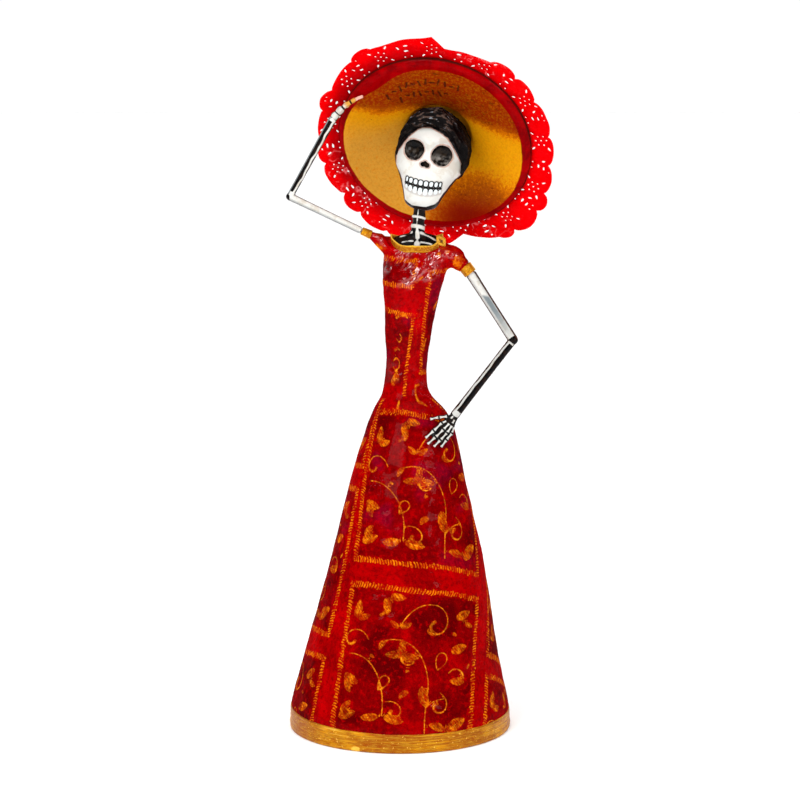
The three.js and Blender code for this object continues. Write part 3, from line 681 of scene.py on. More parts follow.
def panel_strokes():
    """The vines, leaves, curls and blossoms of one printed panel."""
    strokes = [*PANEL_DOTS, *blossom_strokes((-5, 4), 88, 8)]
    strokes.extend(leaf_stroke(*leaf) for leaf in PANEL_LEAVES)
    strokes.extend(curl_stroke(*curl) for curl in PANEL_CURLS)
    strokes.extend(loop_stroke(*loop) for loop in PANEL_LOOPS)
    strokes.append(vine_stroke((11.4, -23), 62, 12, -50)[0])
    strokes.append(vine_stroke((33, -4), 80, 14, 150, 0.6, 0.3)[0])

    def vine(start, heading, bends):
        for length, bend in bends:
            stroke, start, heading = vine_stroke(start, heading, length, bend)
            strokes.append(stroke)
        return start, heading

    # Tall vine in the middle, left vine that bows down, and an arch above them
    tip, heading = vine((12, -37), 96, [(24, -10), (20, 38), (24, 72)])
    strokes.append(leaf_stroke(tip, heading + 30, 6, 30))
    (x, y), _ = vine((-35, 3), 8, [(14, -46), (15, -32), (16, -24)])
    strokes.append(leaf_stroke((x - 2.5, y - 0.5), 204, 9, -24))
    strokes.append(leaf_stroke((x + 2, y - 0.5), -22, 10, 20))
    tip, heading = vine((-8, 21), 74, [(13, -30), (14, -58)])
    strokes.append(curl_stroke(tip, heading, 9, -1))
    return strokes


# Loose patches of the print on the bodice, across and up
BODICE_STROKES = [
    [(-11, 203.6, 2.4), (-8.6, 206.4, 2.6), (-6.4, 205, 1)],
    [(-12, 212, 0.6), (-9, 210, 0.4), (-6.4, 212.4, 0.6), (-6.8, 216, 0.3), (-10, 217.4, 0.7),
     (-12.6, 215.4, 0.2)],
    [(-11.6, 222, 1), (-9, 223, 0.7), (-6.6, 222, 0.3)],
    [(-9.6, 228.4, 0.3), (-7, 226.6, 0.5), (-5, 229, 0.3), (-7, 231.4, 0.4)],
    [(-10.4, 241, 0.9), (-7, 243, 1.3), (-3.4, 242, 0.9), (-1.6, 240.6, 0.3)],
    [(12, 202, 0.6), (8.4, 201.4, 0.9), (7.4, 197, 0.8), (8.2, 192.6, 1.1), (11.4, 190.8, 0.7)],
    [(-6, 189.4, 0.8), (-5.2, 193, 0.6)],
    [(2, 262, 1.1), (6, 264.4, 0.5)],
    [(15, 222, 1), (15.6, 228, 0.7)],
    [(20, 246, 1.6), (23, 250, 1)],
    [(30, 226, 2), (27, 231, 1.2)],
]

# Orange patches on the shoulders: x, y, z and radius
SHOULDER_PATCHES = [(-11.5, -3, 280.2, 3.2), (33.5, -5, 272.6, 3.4), (22, -9, 277, 1.6), (27, -7, 278.4, 1.4)]


# How far from its edge a stroke is still stored, and the half width that stands for no stroke
STROKE_REACH = 2.2
FAR_WIDTH = -4.0


def nearest_stroke(places, strokes):
    """For flat places: the way to the middle of the nearest stroke, and its half width there.

    Far from every stroke the way is nothing and the half width is far below nothing.
    """
    best = far(places)
    result = np.tile((0.0, 0.0, FAR_WIDTH), (len(places), 1))
    for stroke in strokes:
        stroke = np.asarray(stroke, dtype=float)
        for start, end in zip(stroke[:-1], stroke[1:]):
            run = end[:2] - start[:2]
            length = max(run @ run, 1e-9)
            t = np.clip((places - start[:2]) @ run / length, 0, 1)
            way = start[:2] + t[:, None] * run - places
            width = start[2] + t * (end[2] - start[2])
            gap = np.hypot(way[:, 0], way[:, 1]) - width
            closer = gap < best
            best = np.where(closer, gap, best)
            near = closer & (gap < STROKE_REACH)
            result[near, :2] = way[near]
            result[near, 2] = width[near] - 3 * np.maximum(gap[near] - 0.9, 0)
    return result, best


def panel_measures(across, up, middle, lean, half_width, half_height):
    """Places in a panel's own frame, and how far they lie inside its edge."""
    lean = math.radians(lean)
    dx = across - middle[0]
    dy = up - middle[1]
    p = dx * math.cos(lean) - dy * math.sin(lean)
    q = dx * math.sin(lean) + dy * math.cos(lean) + p * PANEL_SKEW
    inside = np.minimum(half_width - np.abs(p), half_height - np.abs(q))
    return p, q, inside


def rolled_out(places, middle_turn):
    """The skirt rolled out flat about the line of it that faces a turn from the front."""
    height = places[:, 2]
    x = places[:, 0] - measures(GOWN_RINGS, 1, height)
    y = places[:, 1] - measures(GOWN_RINGS, 2, height)
    turn = np.arctan2(x, -y) - middle_turn
    turn = (turn + math.pi) % math.tau - math.pi
    length = (SKIRT_FOOT - SKIRT_WIDTH_LOSS * height) / SKIRT_SLOPE
    across = length * np.sin(SKIRT_SLOPE * turn)
    up = SKIRT_FOOT / SKIRT_SLOPE - length * np.cos(SKIRT_SLOPE * turn)
    return across, up, turn


def print_on_gown(piece, sizes):
    """Stores where each point of the gown lies on the printed paper that covers it."""
    places = places_of(piece)
    half_width = sizes.panel_width / MM / 2
    half_height = sizes.panel_height / MM / 2
    drift = lumps(places, 34, 1, 3) * 1.3
    sway = lumps(places, 27, 1, 4) * 1.3
    height = places[:, 2]
    panel = np.tile((0.0, 0.0, OFF_PANEL, 0.0, 0.0), (len(places), 1))

    def lay(p, q, inside, width, tall, where):
        closer = (inside > panel[:, 2]) & where
        panel[closer] = columns(p, q, inside, width, tall)[closer]

    on_skirt = height < BODICE_FOOT
    for middle_x, middle_y, lean, column in SKIRT_PANELS:
        across, up, _ = rolled_out(places, math.pi if column == "back" else 0)
        p, q, inside = panel_measures(
            across + drift, up + sway, (middle_x, middle_y), lean, half_width, half_height)
        if column == "back":
            inside = np.minimum(inside, -panel[:, 2] - PANEL_SPACE)
        lay(p, q, inside, half_width, half_height, on_skirt)
    panel[on_skirt, 2] = np.minimum(panel[on_skirt, 2], SKIRT_PRINT_TOP - height[on_skirt])

    _, _, turn = rolled_out(places, 0)
    roll = turn * BODICE_ROLL
    for middle_x, middle_y, lean, width, tall in BODICE_PANELS:
        p, q, inside = panel_measures(
            roll + drift * 0.4, height + sway * 0.4, (middle_x, middle_y), lean, width, tall)
        lay(p, q, np.minimum(inside, height - BODICE_FOOT - PANEL_SPACE), width, tall, ~on_skirt)

    ways, _ = nearest_stroke(panel[:, :2], panel_strokes())
    ways[(panel[:, 2] < 0.5) | ~on_skirt] = (0, 0, FAR_WIDTH)
    patches, patch_gaps = nearest_stroke(columns(roll, height), BODICE_STROKES)
    use = (patch_gaps < STROKE_REACH) & (np.abs(turn) < 2.6) & (height > GOWN_WAIST[0])
    ways[use] = patches[use]
    keep(piece, "panel", panel[:, :3])
    keep(piece, "panel_half", columns(panel[:, 3], panel[:, 4], 0))
    keep(piece, "stroke", ways)
    patch = far(places)
    for x, y, z, radius in SHOULDER_PATCHES:
        patch = np.minimum(patch, np.linalg.norm(places - np.array((x, y, z)), axis=1) - radius)
    keep(piece, "patch", patch)
    out = normals_of(piece)
    facing = fade(-out[:, 1], 0.2, 0.6) * fade(out[:, 2], -0.1, 0.08)
    shine = fade(height, 250, 262) * fade(lumps(places, 8, 2, 17), -0.3, 0.1) * facing
    shine += 0.15 * fade(lumps(places, 14, 2, 18), 0.1, 0.5) * fade(height, 170, 215) * facing
    # Painted highlights: pale flecks that stand for varnish glints, round the waist and the hips
    glints_and_scuffs = bell(height, 196, 16) + 0.5 * bell(height, 150, 30)
    purple = 0.7 * fade(lumps(places, 16, 2, 19), 0.1, 0.5) * fade(height, 60, 130)
    # The varnish's gloss, where the painted glints and the crazing lie, and the purple drifts
    keep(piece, "wear", columns(shine, glints_and_scuffs, purple))


# Finishes

def painted(red, green, blue):
    """A colour as seen on the object, in parts of 255, as the light values that shaders use."""
    def light(part):
        part /= 255
        return part / 12.92 if part <= 0.04045 else ((part + 0.055) / 1.055) ** 2.4
    return (light(red), light(green), light(blue), 1.0)


class Value:
    """A number, vector or colour in a shader tree. Signs between values add Math nodes."""

    def __init__(self, recipe, socket):
        self.recipe = recipe
        self.socket = socket

    def __add__(self, other):
        return self.recipe.calc("ADD", self, other)

    def __radd__(self, other):
        return self.recipe.calc("ADD", other, self)

    def __sub__(self, other):
        return self.recipe.calc("SUBTRACT", self, other)

    def __rsub__(self, other):
        return self.recipe.calc("SUBTRACT", other, self)

    def __mul__(self, other):
        return self.recipe.calc("MULTIPLY", self, other)

    def __truediv__(self, other):
        return self.recipe.calc("DIVIDE", self, other)

    def __rtruediv__(self, other):
        return self.recipe.calc("DIVIDE", other, self)

    def __abs__(self):
        return self.recipe.calc("ABSOLUTE", self)

    def ramp(self, low, high):
        """Goes smoothly from 0 to 1 between two values."""
        feeds = {"Value": self, "From Min": low, "From Max": high}
        return self.recipe.out("ShaderNodeMapRange", feeds, interpolation_type="SMOOTHSTEP")

    def stretched(self, amounts):
        return self.recipe.out("ShaderNodeVectorMath", {0: self, 1: amounts}, operation="MULTIPLY")

    def grain(self, size, detail=2.0, rough=0.5, stretch=None, twist=0.0):
        """Smooth random values at this place, about `size` across."""
        place = self.stretched(stretch) if stretch else self
        return self.recipe.out("ShaderNodeTexNoise", {
            "Vector": place, "Scale": 1 / size, "Detail": detail, "Roughness": rough, "Distortion": twist})

    def creased(self):
        """Sharp ridges where random values pass their middle."""
        return self.recipe.calc("SUBTRACT", 1.0, abs(self - 0.5) * 6.0, clamp=True)

    def ragged(self, wander, softness, size):
        """Where paint lies, from this distance to its edge."""
        feeds = {"distance": self, "wander": wander, "softness": softness, "size": size}
        return self.recipe.use(ragged_paint_edge, **feeds)["Mask"]


class Recipe:
    """Adds nodes to a shader tree and links them, so that a finish reads from top to bottom."""

    def __init__(self, tree):
        self.tree = tree
        self.count = 0
        self.place = None

    def put(self, kind, feeds=None, **settings):
        node = self.tree.nodes.new(kind)
        node.location = (self.count // 6 * 220, -(self.count % 6) * 190)
        self.count += 1
        for name, value in settings.items():
            setattr(node, name, value)
        for socket, value in (feeds or {}).items():
            self.feed(node.inputs[socket], value)
        return node

    def feed(self, socket, value):
        if isinstance(value, Value):
            self.tree.links.new(value.socket, socket)
        else:
            socket.default_value = value

    def out(self, kind, feeds=None, output=0, **settings):
        return Value(self, self.put(kind, feeds, **settings).outputs[output])

    def calc(self, operation, *values, clamp=False):
        return self.out("ShaderNodeMath", dict(enumerate(values)), operation=operation, use_clamp=clamp)

    def mix(self, factor, first, second):
        return self.out("ShaderNodeMix", {0: factor, 6: first, 7: second}, 2, data_type="RGBA")

    def vector(self, x, y, z):
        return self.out("ShaderNodeCombineXYZ", {0: x, 1: y, 2: z})

    def split(self, vector):
        return [Value(self, part) for part in self.put("ShaderNodeSeparateXYZ", {0: vector}).outputs]

    def measure(self, name, output="Fac"):
        return self.out("ShaderNodeAttribute", output=output, attribute_name=name)

    def parts(self, name):
        return self.split(self.measure(name, "Vector"))

    def use(self, build, **feeds):
        """The outputs of a shared node group by name. The group is built when it is first used."""
        name = build.__name__.replace("_", " ").capitalize()
        node = self.put("ShaderNodeGroup", node_tree=bpy.data.node_groups.get(name) or build(name))
        for socket, value in {"place": self.place, **feeds}.items():
            self.feed(node.inputs[socket.capitalize()], value)
        return {output.name: Value(self, output) for output in node.outputs}

    def cloudy(self, light, middle, dark, size, streaks, stretch=(1.0, 1.0, 1.0)):
        feeds = {"light": light, "middle": middle, "dark": dark, "size": size, "streaks": streaks}
        return self.use(cloudy_paint, stretch=stretch, **feeds)["Colour"]


def new_group(name, inputs, outputs):
    """An empty node group with named sockets, and the recipe that fills it."""
    group = bpy.data.node_groups.new(name, "ShaderNodeTree")
    kinds = {"value": "NodeSocketFloat", "vector": "NodeSocketVector", "colour": "NodeSocketColor"}
    for socket_name, kind, default in inputs:
        socket = group.interface.new_socket(name=socket_name, in_out="INPUT", socket_type=kinds[kind])
        if default is not None:
            socket.default_value = default
    for socket_name, kind in outputs:
        group.interface.new_socket(name=socket_name, in_out="OUTPUT", socket_type=kinds[kind])
    recipe = Recipe(group)
    start = {socket.name: Value(recipe, socket) for socket in recipe.put("NodeGroupInput").outputs}
    end = recipe.put("NodeGroupOutput").inputs
    return group, recipe, start, end


def ragged_paint_edge(name):
    """Paint that ends in a ragged brushed edge, from the distance to where it should end."""
    group, recipe, start, end = new_group(
        name,
        [("Distance", "value", 0), ("Wander", "value", 0.3), ("Softness", "value", 0.2),
         ("Size", "value", 1.5), ("Place", "vector", None)],
        [("Mask", "value")],
    )
    rough = start["Place"].grain(start["Size"], 3.0, 0.6)
    distance = start["Distance"] + (rough - 0.5) * start["Wander"] * 2.0
    soft = start["Softness"]
    feeds = {"Value": distance, "From Min": soft * -1.0, "From Max": soft, "To Min": 1.0, "To Max": 0.0}
    recipe.feed(end["Mask"], recipe.out("ShaderNodeMapRange", feeds, interpolation_type="SMOOTHSTEP"))
    return group


def uneven_varnish(name):
    """Uneven varnish over pasted paper: soft lumps, fine creases and brush marks."""
    group, recipe, start, end = new_group(
        name,
        [("Place", "vector", None), ("Lumps", "value", 1.0), ("Creases", "value", 1.0),
         ("Brush", "value", 1.0), ("Stretch", "vector", (1.0, 1.0, 1.0)), ("Gloss", "value", 0.3)],
        [("Height", "value"), ("Roughness", "value")],
    )
    place = start["Place"]
    ridge = place.grain(3.2, 3.0, 0.55).creased()
    brush = place.stretched(start["Stretch"]).grain(0.9, 3.0, 0.6)
    height = place.grain(7, 2.0) * start["Lumps"] + ridge * start["Creases"] + brush * start["Brush"]
    recipe.feed(end["Height"], height)
    patchy = (place.grain(5, 3.0) - 0.5) * 0.5
    streak = (brush - 0.5) * 0.3
    recipe.feed(end["Roughness"], recipe.calc("ADD", start["Gloss"], patchy + streak, clamp=True))
    return group


def cloudy_paint(name):
    """Three tones of paint that drift into one another, with fine streaks."""
    group, recipe, start, end = new_group(
        name,
        [("Place", "vector", None), ("Light", "colour", None), ("Middle", "colour", None),
         ("Dark", "colour", None), ("Size", "value", 14.0), ("Stretch", "vector", (1.0, 1.0, 1.0)),
         ("Streaks", "value", 0.3)],
        [("Colour", "colour")],
    )
    place = start["Place"]
    streak = place.stretched(start["Stretch"]).grain(1.1, 4.0, 0.65)
    tone = place.grain(start["Size"], 3.0, 0.55, twist=0.6) + (streak - 0.5) * start["Streaks"]
    colour = recipe.mix(tone.ramp(0.5, 0.34), start["Middle"], start["Dark"])
    recipe.feed(end["Colour"], recipe.mix(tone.ramp(0.52, 0.68), colour, start["Light"]))
    return group


def brushed_gold(name):
    """Gold paint dragged on with a brush, darker and redder where it is thin."""
    group, recipe, start, end = new_group(
        name,
        [("Place", "vector", None), ("Along", "vector", (1.0, 1.0, 1.0)), ("Bright", "colour", None),
         ("Deep", "colour", None), ("Ground", "colour", None), ("Wear", "value", 0.3)],
        [("Colour", "colour"), ("Height", "value"), ("Roughness", "value")],
    )
    place = start["Place"]
    dragged = place.stretched(start["Along"])
    streak = dragged.grain(1.2, 5.0, 0.65)
    fine = dragged.grain(0.45, 3.0, 0.6)
    tone = streak * 0.55 + place.grain(11, 3.0, 0.6) * 0.45
    colour = recipe.mix(tone.ramp(0.4, 0.6), start["Deep"], start["Bright"])
    thin = (streak + fine).ramp(0.86, 0.66) * start["Wear"]
    recipe.feed(end["Colour"], recipe.mix(thin, colour, start["Ground"]))
    recipe.feed(end["Height"], streak + fine * 0.4)
    recipe.feed(end["Roughness"], 0.22 + streak * 0.36)
    return group


def new_material(name):
    """An empty material, the recipe that fills it, and the place on the piece in millimetres."""
    material = bpy.data.materials.new(name)
    material.use_nodes = True
    material.node_tree.nodes.clear()
    recipe = Recipe(material.node_tree)
    metres = recipe.out("ShaderNodeTexCoord", output="Object")
    recipe.place = recipe.out("ShaderNodeVectorMath", {0: metres, "Scale": 1 / MM}, operation="SCALE")
    return material, recipe, recipe.place


def close_material(recipe, colour, roughness, height, relief, metallic=0.0, coat=0.1, coat_rough=0.08,
                   gloss=0.05, film=None):
    """Ends a finish: a paint with a relief of `relief` millimetres, under varnish with the height `film`."""
    bump = recipe.out("ShaderNodeBump", {"Height": height, "Distance": relief * MM, "Strength": 1.0})
    top = bump
    if film:
        top = recipe.out("ShaderNodeBump", {"Height": film, "Distance": relief * MM, "Strength": 1.0})
    shader = recipe.out("ShaderNodeBsdfPrincipled", {
        "Base Color": colour,
        "Roughness": roughness,
        "Metallic": metallic,
        "Specular IOR Level": gloss,
        "Coat Weight": coat,
        "Coat Roughness": coat_rough,
        "Coat IOR": 1.8 if film else 1.5,
        "Normal": bump,
        "Coat Normal": top,
    })
    recipe.put("ShaderNodeOutputMaterial", {"Surface": shader})


def gown_paint(colours, sizes):
    """Red paper printed in panels, with hatched borders, vines, leaves and curls in orange."""
    material, recipe, place = new_material("gown_paint")
    p, q, inside = recipe.parts("panel")
    half_width, half_height, _ = recipe.parts("panel_half")
    from_side = half_width - abs(p)
    from_end = half_height - abs(q)
    by_side = recipe.calc("LESS_THAN", from_side, from_end)
    edge = recipe.calc("MINIMUM", from_side, from_end)
    run = by_side * q + (1.0 - by_side) * p
    on_panel = inside.ramp(-3.4, -2.6)

    # Border hatching: short strokes across the edge, uneven in length, lean and strength
    wobble = place.grain(4.5, 2.0) - 0.5
    shiver = place.grain(1.3, 2.0) - 0.5
    cell = (run + edge * edge * 0.1 + wobble * 2.4) / (sizes.hatch_pitch / MM)
    number = recipe.calc("FLOOR", cell)
    chance = recipe.out("ShaderNodeTexWhiteNoise", {"W": number}, output="Value", noise_dimensions="1D")
    from_middle = abs(recipe.calc("FRACT", cell) - 0.5)
    thick = 0.22 + chance * 0.1 + shiver * 0.3
    stroke = (thick - from_middle).ramp(-0.1, 0.1)
    reach = sizes.hatch_length / MM / 2 + chance * -0.9 + shiver * 1.6
    ends = (reach - abs(edge - 1.4)).ramp(-0.2, 0.25)
    worn = place.grain(5, 4.0, 0.7).ramp(0.34, 0.54)
    hatch = stroke * ends * (worn * on_panel)
    spine = abs(edge + wobble * 1.2 - 2.5)
    spine = spine.ramp(0.5, 0.2) * place.grain(9, 2.0).ramp(0.58, 0.7)
    hatch = recipe.calc("MAXIMUM", hatch, spine * (worn * on_panel))

    # Vines and leaves
    way_x, way_y, width = recipe.parts("stroke")
    way = recipe.calc("SQRT", way_x * way_x + way_y * way_y)
    vine = (way - width).ragged(0.4, 0.2, 1.1)
    vine = recipe.calc("MAXIMUM", vine, recipe.measure("patch").ragged(3.0, 0.6, 4.0))
    streaks = recipe.vector((p + q) * 0.9, (q - p) * 0.2, 0.0).grain(1.0, 3.0, 0.6)
    gaps = streaks.ramp(0.56, 0.4) * width.ramp(0.5, 1.2)
    vine = vine * (1.0 - gaps * 0.7)
    faded = place.grain(7, 5.0, 0.7).ramp(0.4, 0.6)
    vine = vine * (0.28 + faded * 0.7)

    # Ground
    flat = (1.0, 1.0, 3.2)
    band = recipe.cloudy(colours.band_bright, colours.band_red, colours.band_deep, 20.0, 0.3, stretch=flat)
    field = recipe.cloudy(colours.panel_bright, colours.panel_red, colours.maroon, 21.0, 0.35, stretch=flat)
    shine, glints_and_scuffs, purple = recipe.parts("wear")
    field = recipe.mix(purple * 0.6, field, colours.purple)
    ground = recipe.mix(inside.ramp(0.6, 5.0), band, field)
    mottle = place.grain(2.6, 4.0, 0.7)
    ground = recipe.mix(mottle.ramp(0.5, 0.36) * 0.5, ground, colours.maroon)
    ground = recipe.mix(mottle.ramp(0.52, 0.66) * 0.5, ground, colours.band_bright)
    full = place.grain(3, 4.0, 0.65).ramp(0.38, 0.62)
    orange = recipe.mix(full, colours.stroke_red, colours.stroke_orange)
    core = way.ramp(0.3, 0.1) * width.ramp(0.2, 0.4) * place.grain(1.5, 3.0).ramp(0.4, 0.6)
    orange = recipe.mix(core, orange, colours.stroke_yellow)
    colour = recipe.mix(recipe.calc("MAXIMUM", hatch, vine), ground, orange)

    # Painted highlights: pale flecks as varnish glints round the hips, and hairlines where the varnish crazed
    fibre = abs(place.grain(9, 2.0, 0.5) - 0.5).ramp(0.005, 0.001)
    glint_and_scuff_patches = (place.grain(22, 2.0) + glints_and_scuffs * 0.12).ramp(0.56, 0.7)
    fleck = place.grain(1.4, 3.0, 0.6, (1.0, 1.0, 2.2)).ramp(0.64, 0.72)
    fleck = recipe.calc("MAXIMUM", fibre * 0.4, fleck) * glints_and_scuffs
    colour = recipe.mix(fleck * glint_and_scuff_patches * 0.6, colour, colours.scuff)
    drawn = (0.5, 0.5, 2.0)
    layers = recipe.use(uneven_varnish, lumps=1.2, creases=0.3, brush=0.16, stretch=drawn, gloss=0.34)
    height = layers["Height"] + vine * 0.12
    x, y, z = recipe.split(place)
    fold = recipe.vector(x - z, y, (x + z) * 0.4).grain(6, 1.5).creased()
    film = fold * shine * 1.2 + place.grain(9, 1.0) * 1.2
    close_material(recipe, colour, layers["Roughness"], height, 0.45, coat=0.015 + shine * 0.9,
                   coat_rough=0.05, gloss=0.0, film=film)
    return material


def gold_trim(colours, name, along, wear, relief=0.14):
    """Brushed gold strips, brown where they are worn, with painted highlights on their edges and painted
    shade on their faces.
    """
    material, recipe, place = new_material(name)
    gold = recipe.use(
        brushed_gold, along=along, bright=colours.gold_bright, deep=colours.gold_deep,
        ground=colours.gold_ground, wear=wear)
    height = gold["Height"] + place.grain(4, 2.0) * 2.0
    # Painted light: shade on the strips' faces where "lit" is low, highlights on their edges where it is high
    lit = recipe.measure("lit")
    colour = recipe.mix(lit.ramp(0.5, 0.0), gold["Colour"], colours.gold_deep)
    streak = place.grain(1.3, 5.0, 0.8, along)
    colour = recipe.mix(streak.ramp(0.47, 0.58) * 0.55, colour, colours.gold_olive)
    colour = recipe.mix(streak.ramp(0.43, 0.34) * wear, colour, colours.gold_brown)
    # Painted glints: small bright specks
    spark = place.grain(1.2, 2.0).ramp(0.66, 0.72) * 0.8
    colour = recipe.mix(spark, colour, colours.gold_edge)
    colour = recipe.mix(lit.ramp(0.6, 1.0), colour, colours.gold_edge)
    close_material(recipe, colour, gold["Roughness"], height, relief, metallic=0.3, coat=0.06, coat_rough=0.1)
    return material


def bone_paint(colours, name):
    """White bone on black, from the distance to the painted bones' edges."""
    material, recipe, place = new_material(name)
    white = recipe.measure("bone").ragged(0.14, 0.16, 1.2)
    brown = recipe.measure("line").ragged(0.16, 0.14, 1.6)
    pale = recipe.cloudy(colours.bone_white, colours.bone_white, colours.bone_warm, 5.0, 0.3)
    pale = recipe.mix(recipe.measure("shade") * 0.9, pale, colours.bone_grey)
    # Painted reflection of the gold hat on the raised finger, and a painted highlight at its tip
    warm = recipe.measure("warm")
    pale = recipe.mix(warm.ramp(0.05, 0.35), pale, colours.finger_gold)
    pale = recipe.mix(warm.ramp(0.7, 0.85), pale, colours.finger_pink)
    ink = recipe.mix(place.grain(3, 3.0).ramp(0.45, 0.62), colours.ink, colours.ink_brown)
    colour = recipe.mix(white, ink, pale)
    colour = recipe.mix(brown, colour, colours.line_dark)
    layers = recipe.use(uneven_varnish, lumps=0.5, creases=0.1, brush=0.12, gloss=0.3)
    height = layers["Height"] + white * 0.3
    close_material(recipe, colour, layers["Roughness"], height, 0.2, coat=0.06)
    return material


def skull_paint(colours):
    """White face with black sockets, dark gaps between the teeth, and black behind the jaw."""
    material, recipe, place = new_material("skull_paint")

    def mask(name, wander, softness):
        return recipe.measure(name).ragged(wander, softness, 1.4)

    pale = recipe.cloudy(colours.bone_white, colours.bone_white, colours.bone_warm, 9.0, 0.2)
    colour = recipe.mix(recipe.measure("shade") * 0.7, pale, colours.bone_grey)
    colour = recipe.mix(mask("gum", 0.4, 0.5) * 0.5, colour, colours.gum_grey)
    teeth = mask("tooth", 0.08, 0.14)
    colour = recipe.mix(teeth, colour, colours.tooth_white)
    gap = mask("mouth", 0.1, 0.2) * (1.0 - teeth)
    colour = recipe.mix(gap, colour, colours.ink)
    colour = recipe.mix(mask("bite", 0.1, 0.14), colour, colours.ink)
    colour = recipe.mix(mask("rim", 0.2, 0.3) * 0.8, colour, colours.line_brown)
    dark = recipe.mix(place.grain(3.5, 3.0).ramp(0.42, 0.6), colours.ink, colours.socket)
    socket = mask("socket", 0.14, 0.14)
    # Painted highlights: glimmers low in the eye sockets
    glimmer = recipe.measure("glimmer") * place.grain(3.2, 2.0).ramp(0.4, 0.68)
    dark = recipe.mix(glimmer, dark, colours.socket_light)
    colour = recipe.mix(socket, colour, dark)
    colour = recipe.mix(mask("behind", 0.2, 0.2), colour, colours.ink)
    layers = recipe.use(uneven_varnish, lumps=0.8, creases=0.06, brush=0.08, gloss=0.3)
    rough = recipe.calc("SUBTRACT", layers["Roughness"], socket * 0.16, clamp=True)
    height = layers["Height"] + place.grain(2.8, 1.0) * socket * 2.0
    close_material(recipe, colour, rough, height, 0.2, coat=0.08)
    return material


def hair_paint(colours):
    """Dark hair, with painted highlights on the ridges that the light meets."""
    material, recipe, place = new_material("hair_paint")
    streak = recipe.measure("strand", "Vector").grain(1.0, 3.0, 0.6)
    tone = recipe.measure("ridge") * 0.4 + streak * 0.6
    colour = recipe.mix(tone.ramp(0.38, 0.62), colours.hair_black, colours.hair_brown)
    # Painted highlights: paler ridges where "lit" is high, with cool painted glints on the highest
    worn = tone.ramp(0.52, 0.68) * recipe.measure("lit")
    colour = recipe.mix(worn, colour, colours.hair_glint)
    gleam = place.grain(2.4, 2.0).ramp(0.56, 0.66) * worn
    colour = recipe.mix(gleam * 0.9, colour, colours.hair_shine)
    height = streak * 1.4 + place.grain(5, 2.0)
    close_material(recipe, colour, 0.5, height, 0.7, coat=0.12, coat_rough=0.1, gloss=0.0)
    return material


def hat_paint(colours):
    """Gold inside the brim up to a hand-painted edge, with painted shade, painted light and a painted red
    reflection on it, and red on the rim and the outside.
    """
    material, recipe, place = new_material("hat_paint")
    radius, angle, edge = recipe.parts("round_hat")
    gold = recipe.use(
        brushed_gold, along=(0.7, 0.7, 0.7), bright=colours.gold_bright, deep=colours.gold_deep,
        ground=colours.gold_ground, wear=0.25)
    sweep = recipe.vector(radius, angle * 3.0, 0.0).grain(1.4, 4.0, 0.65)
    # Painted shade (brown), a painted reflection of the red gown (red) and painted light on the left (pale)
    brown, painted_red_reflection, pale = recipe.parts("tone")
    fleck = place.grain(1.6, 5.0, 0.75) - 0.5
    dull = recipe.mix(fleck.ramp(-0.06, 0.16), colours.gold_brown, colours.gold_deep)
    warm = recipe.mix(pale * 0.55, colours.gold_bright, colours.gold_pale)
    warm = recipe.mix(sweep.ramp(0.56, 0.36) * 0.25, warm, colours.gold_deep)
    warm = recipe.mix(fleck.ramp(0.06, 0.3) * 0.2, warm, gold["Colour"])
    brown = brown + fleck * 1.7
    warm = recipe.mix(brown.ramp(0.02, 0.4), warm, colours.gold_orange)
    brown = brown.ramp(0.14, 0.84)
    warm = recipe.mix(brown, warm, dull)
    scratch = place.grain(2.2, 5.0, 0.7, (0.5, 1.0, 1.0))
    scratch = recipe.calc("MULTIPLY", scratch.ramp(0.56, 0.64), 0.06 + brown, clamp=True)
    warm = recipe.mix(scratch * 0.7, warm, colours.gold_ground)
    dust = place.grain(1.4, 4.0, 0.75).ramp(0.56, 0.68) * brown
    warm = recipe.mix(dust * 0.3, warm, colours.gold_orange)
    speck = place.grain(2.6, 1.0).ramp(0.22, 0.19)
    warm = recipe.mix(speck * 0.8, warm, colours.gold_brown)
    # Painted reflection of the red gown, low inside the brim
    warm = recipe.mix(painted_red_reflection * 0.9, warm, colours.gold_red)
    mark = recipe.measure("mark").ragged(0.5, 0.25, 1.6)
    warm = recipe.mix(mark * 0.7, warm, colours.ink_brown)
    red = recipe.cloudy(colours.rim_bright, colours.rim_red, colours.rim_dark, 10.0, 0.4)
    rim = edge.ragged(0.5, 0.3, 5.0)
    colour = recipe.mix(rim, red, warm)
    # Painted shadow: a dark line along the rim's outer edge, where the lace meets it
    rim_shadow_line = radius.ramp(55.3, 56.0) * 0.8
    colour = recipe.mix(rim_shadow_line, colour, colours.ink_brown)
    layers = recipe.use(uneven_varnish, lumps=0.8, creases=0.12, brush=0.1, gloss=0.34)
    height = layers["Height"] + gold["Height"] * 0.35 - mark * 0.6
    close_material(recipe, colour, layers["Roughness"], height, 0.25, coat=0.03, gloss=0.0)
    return material


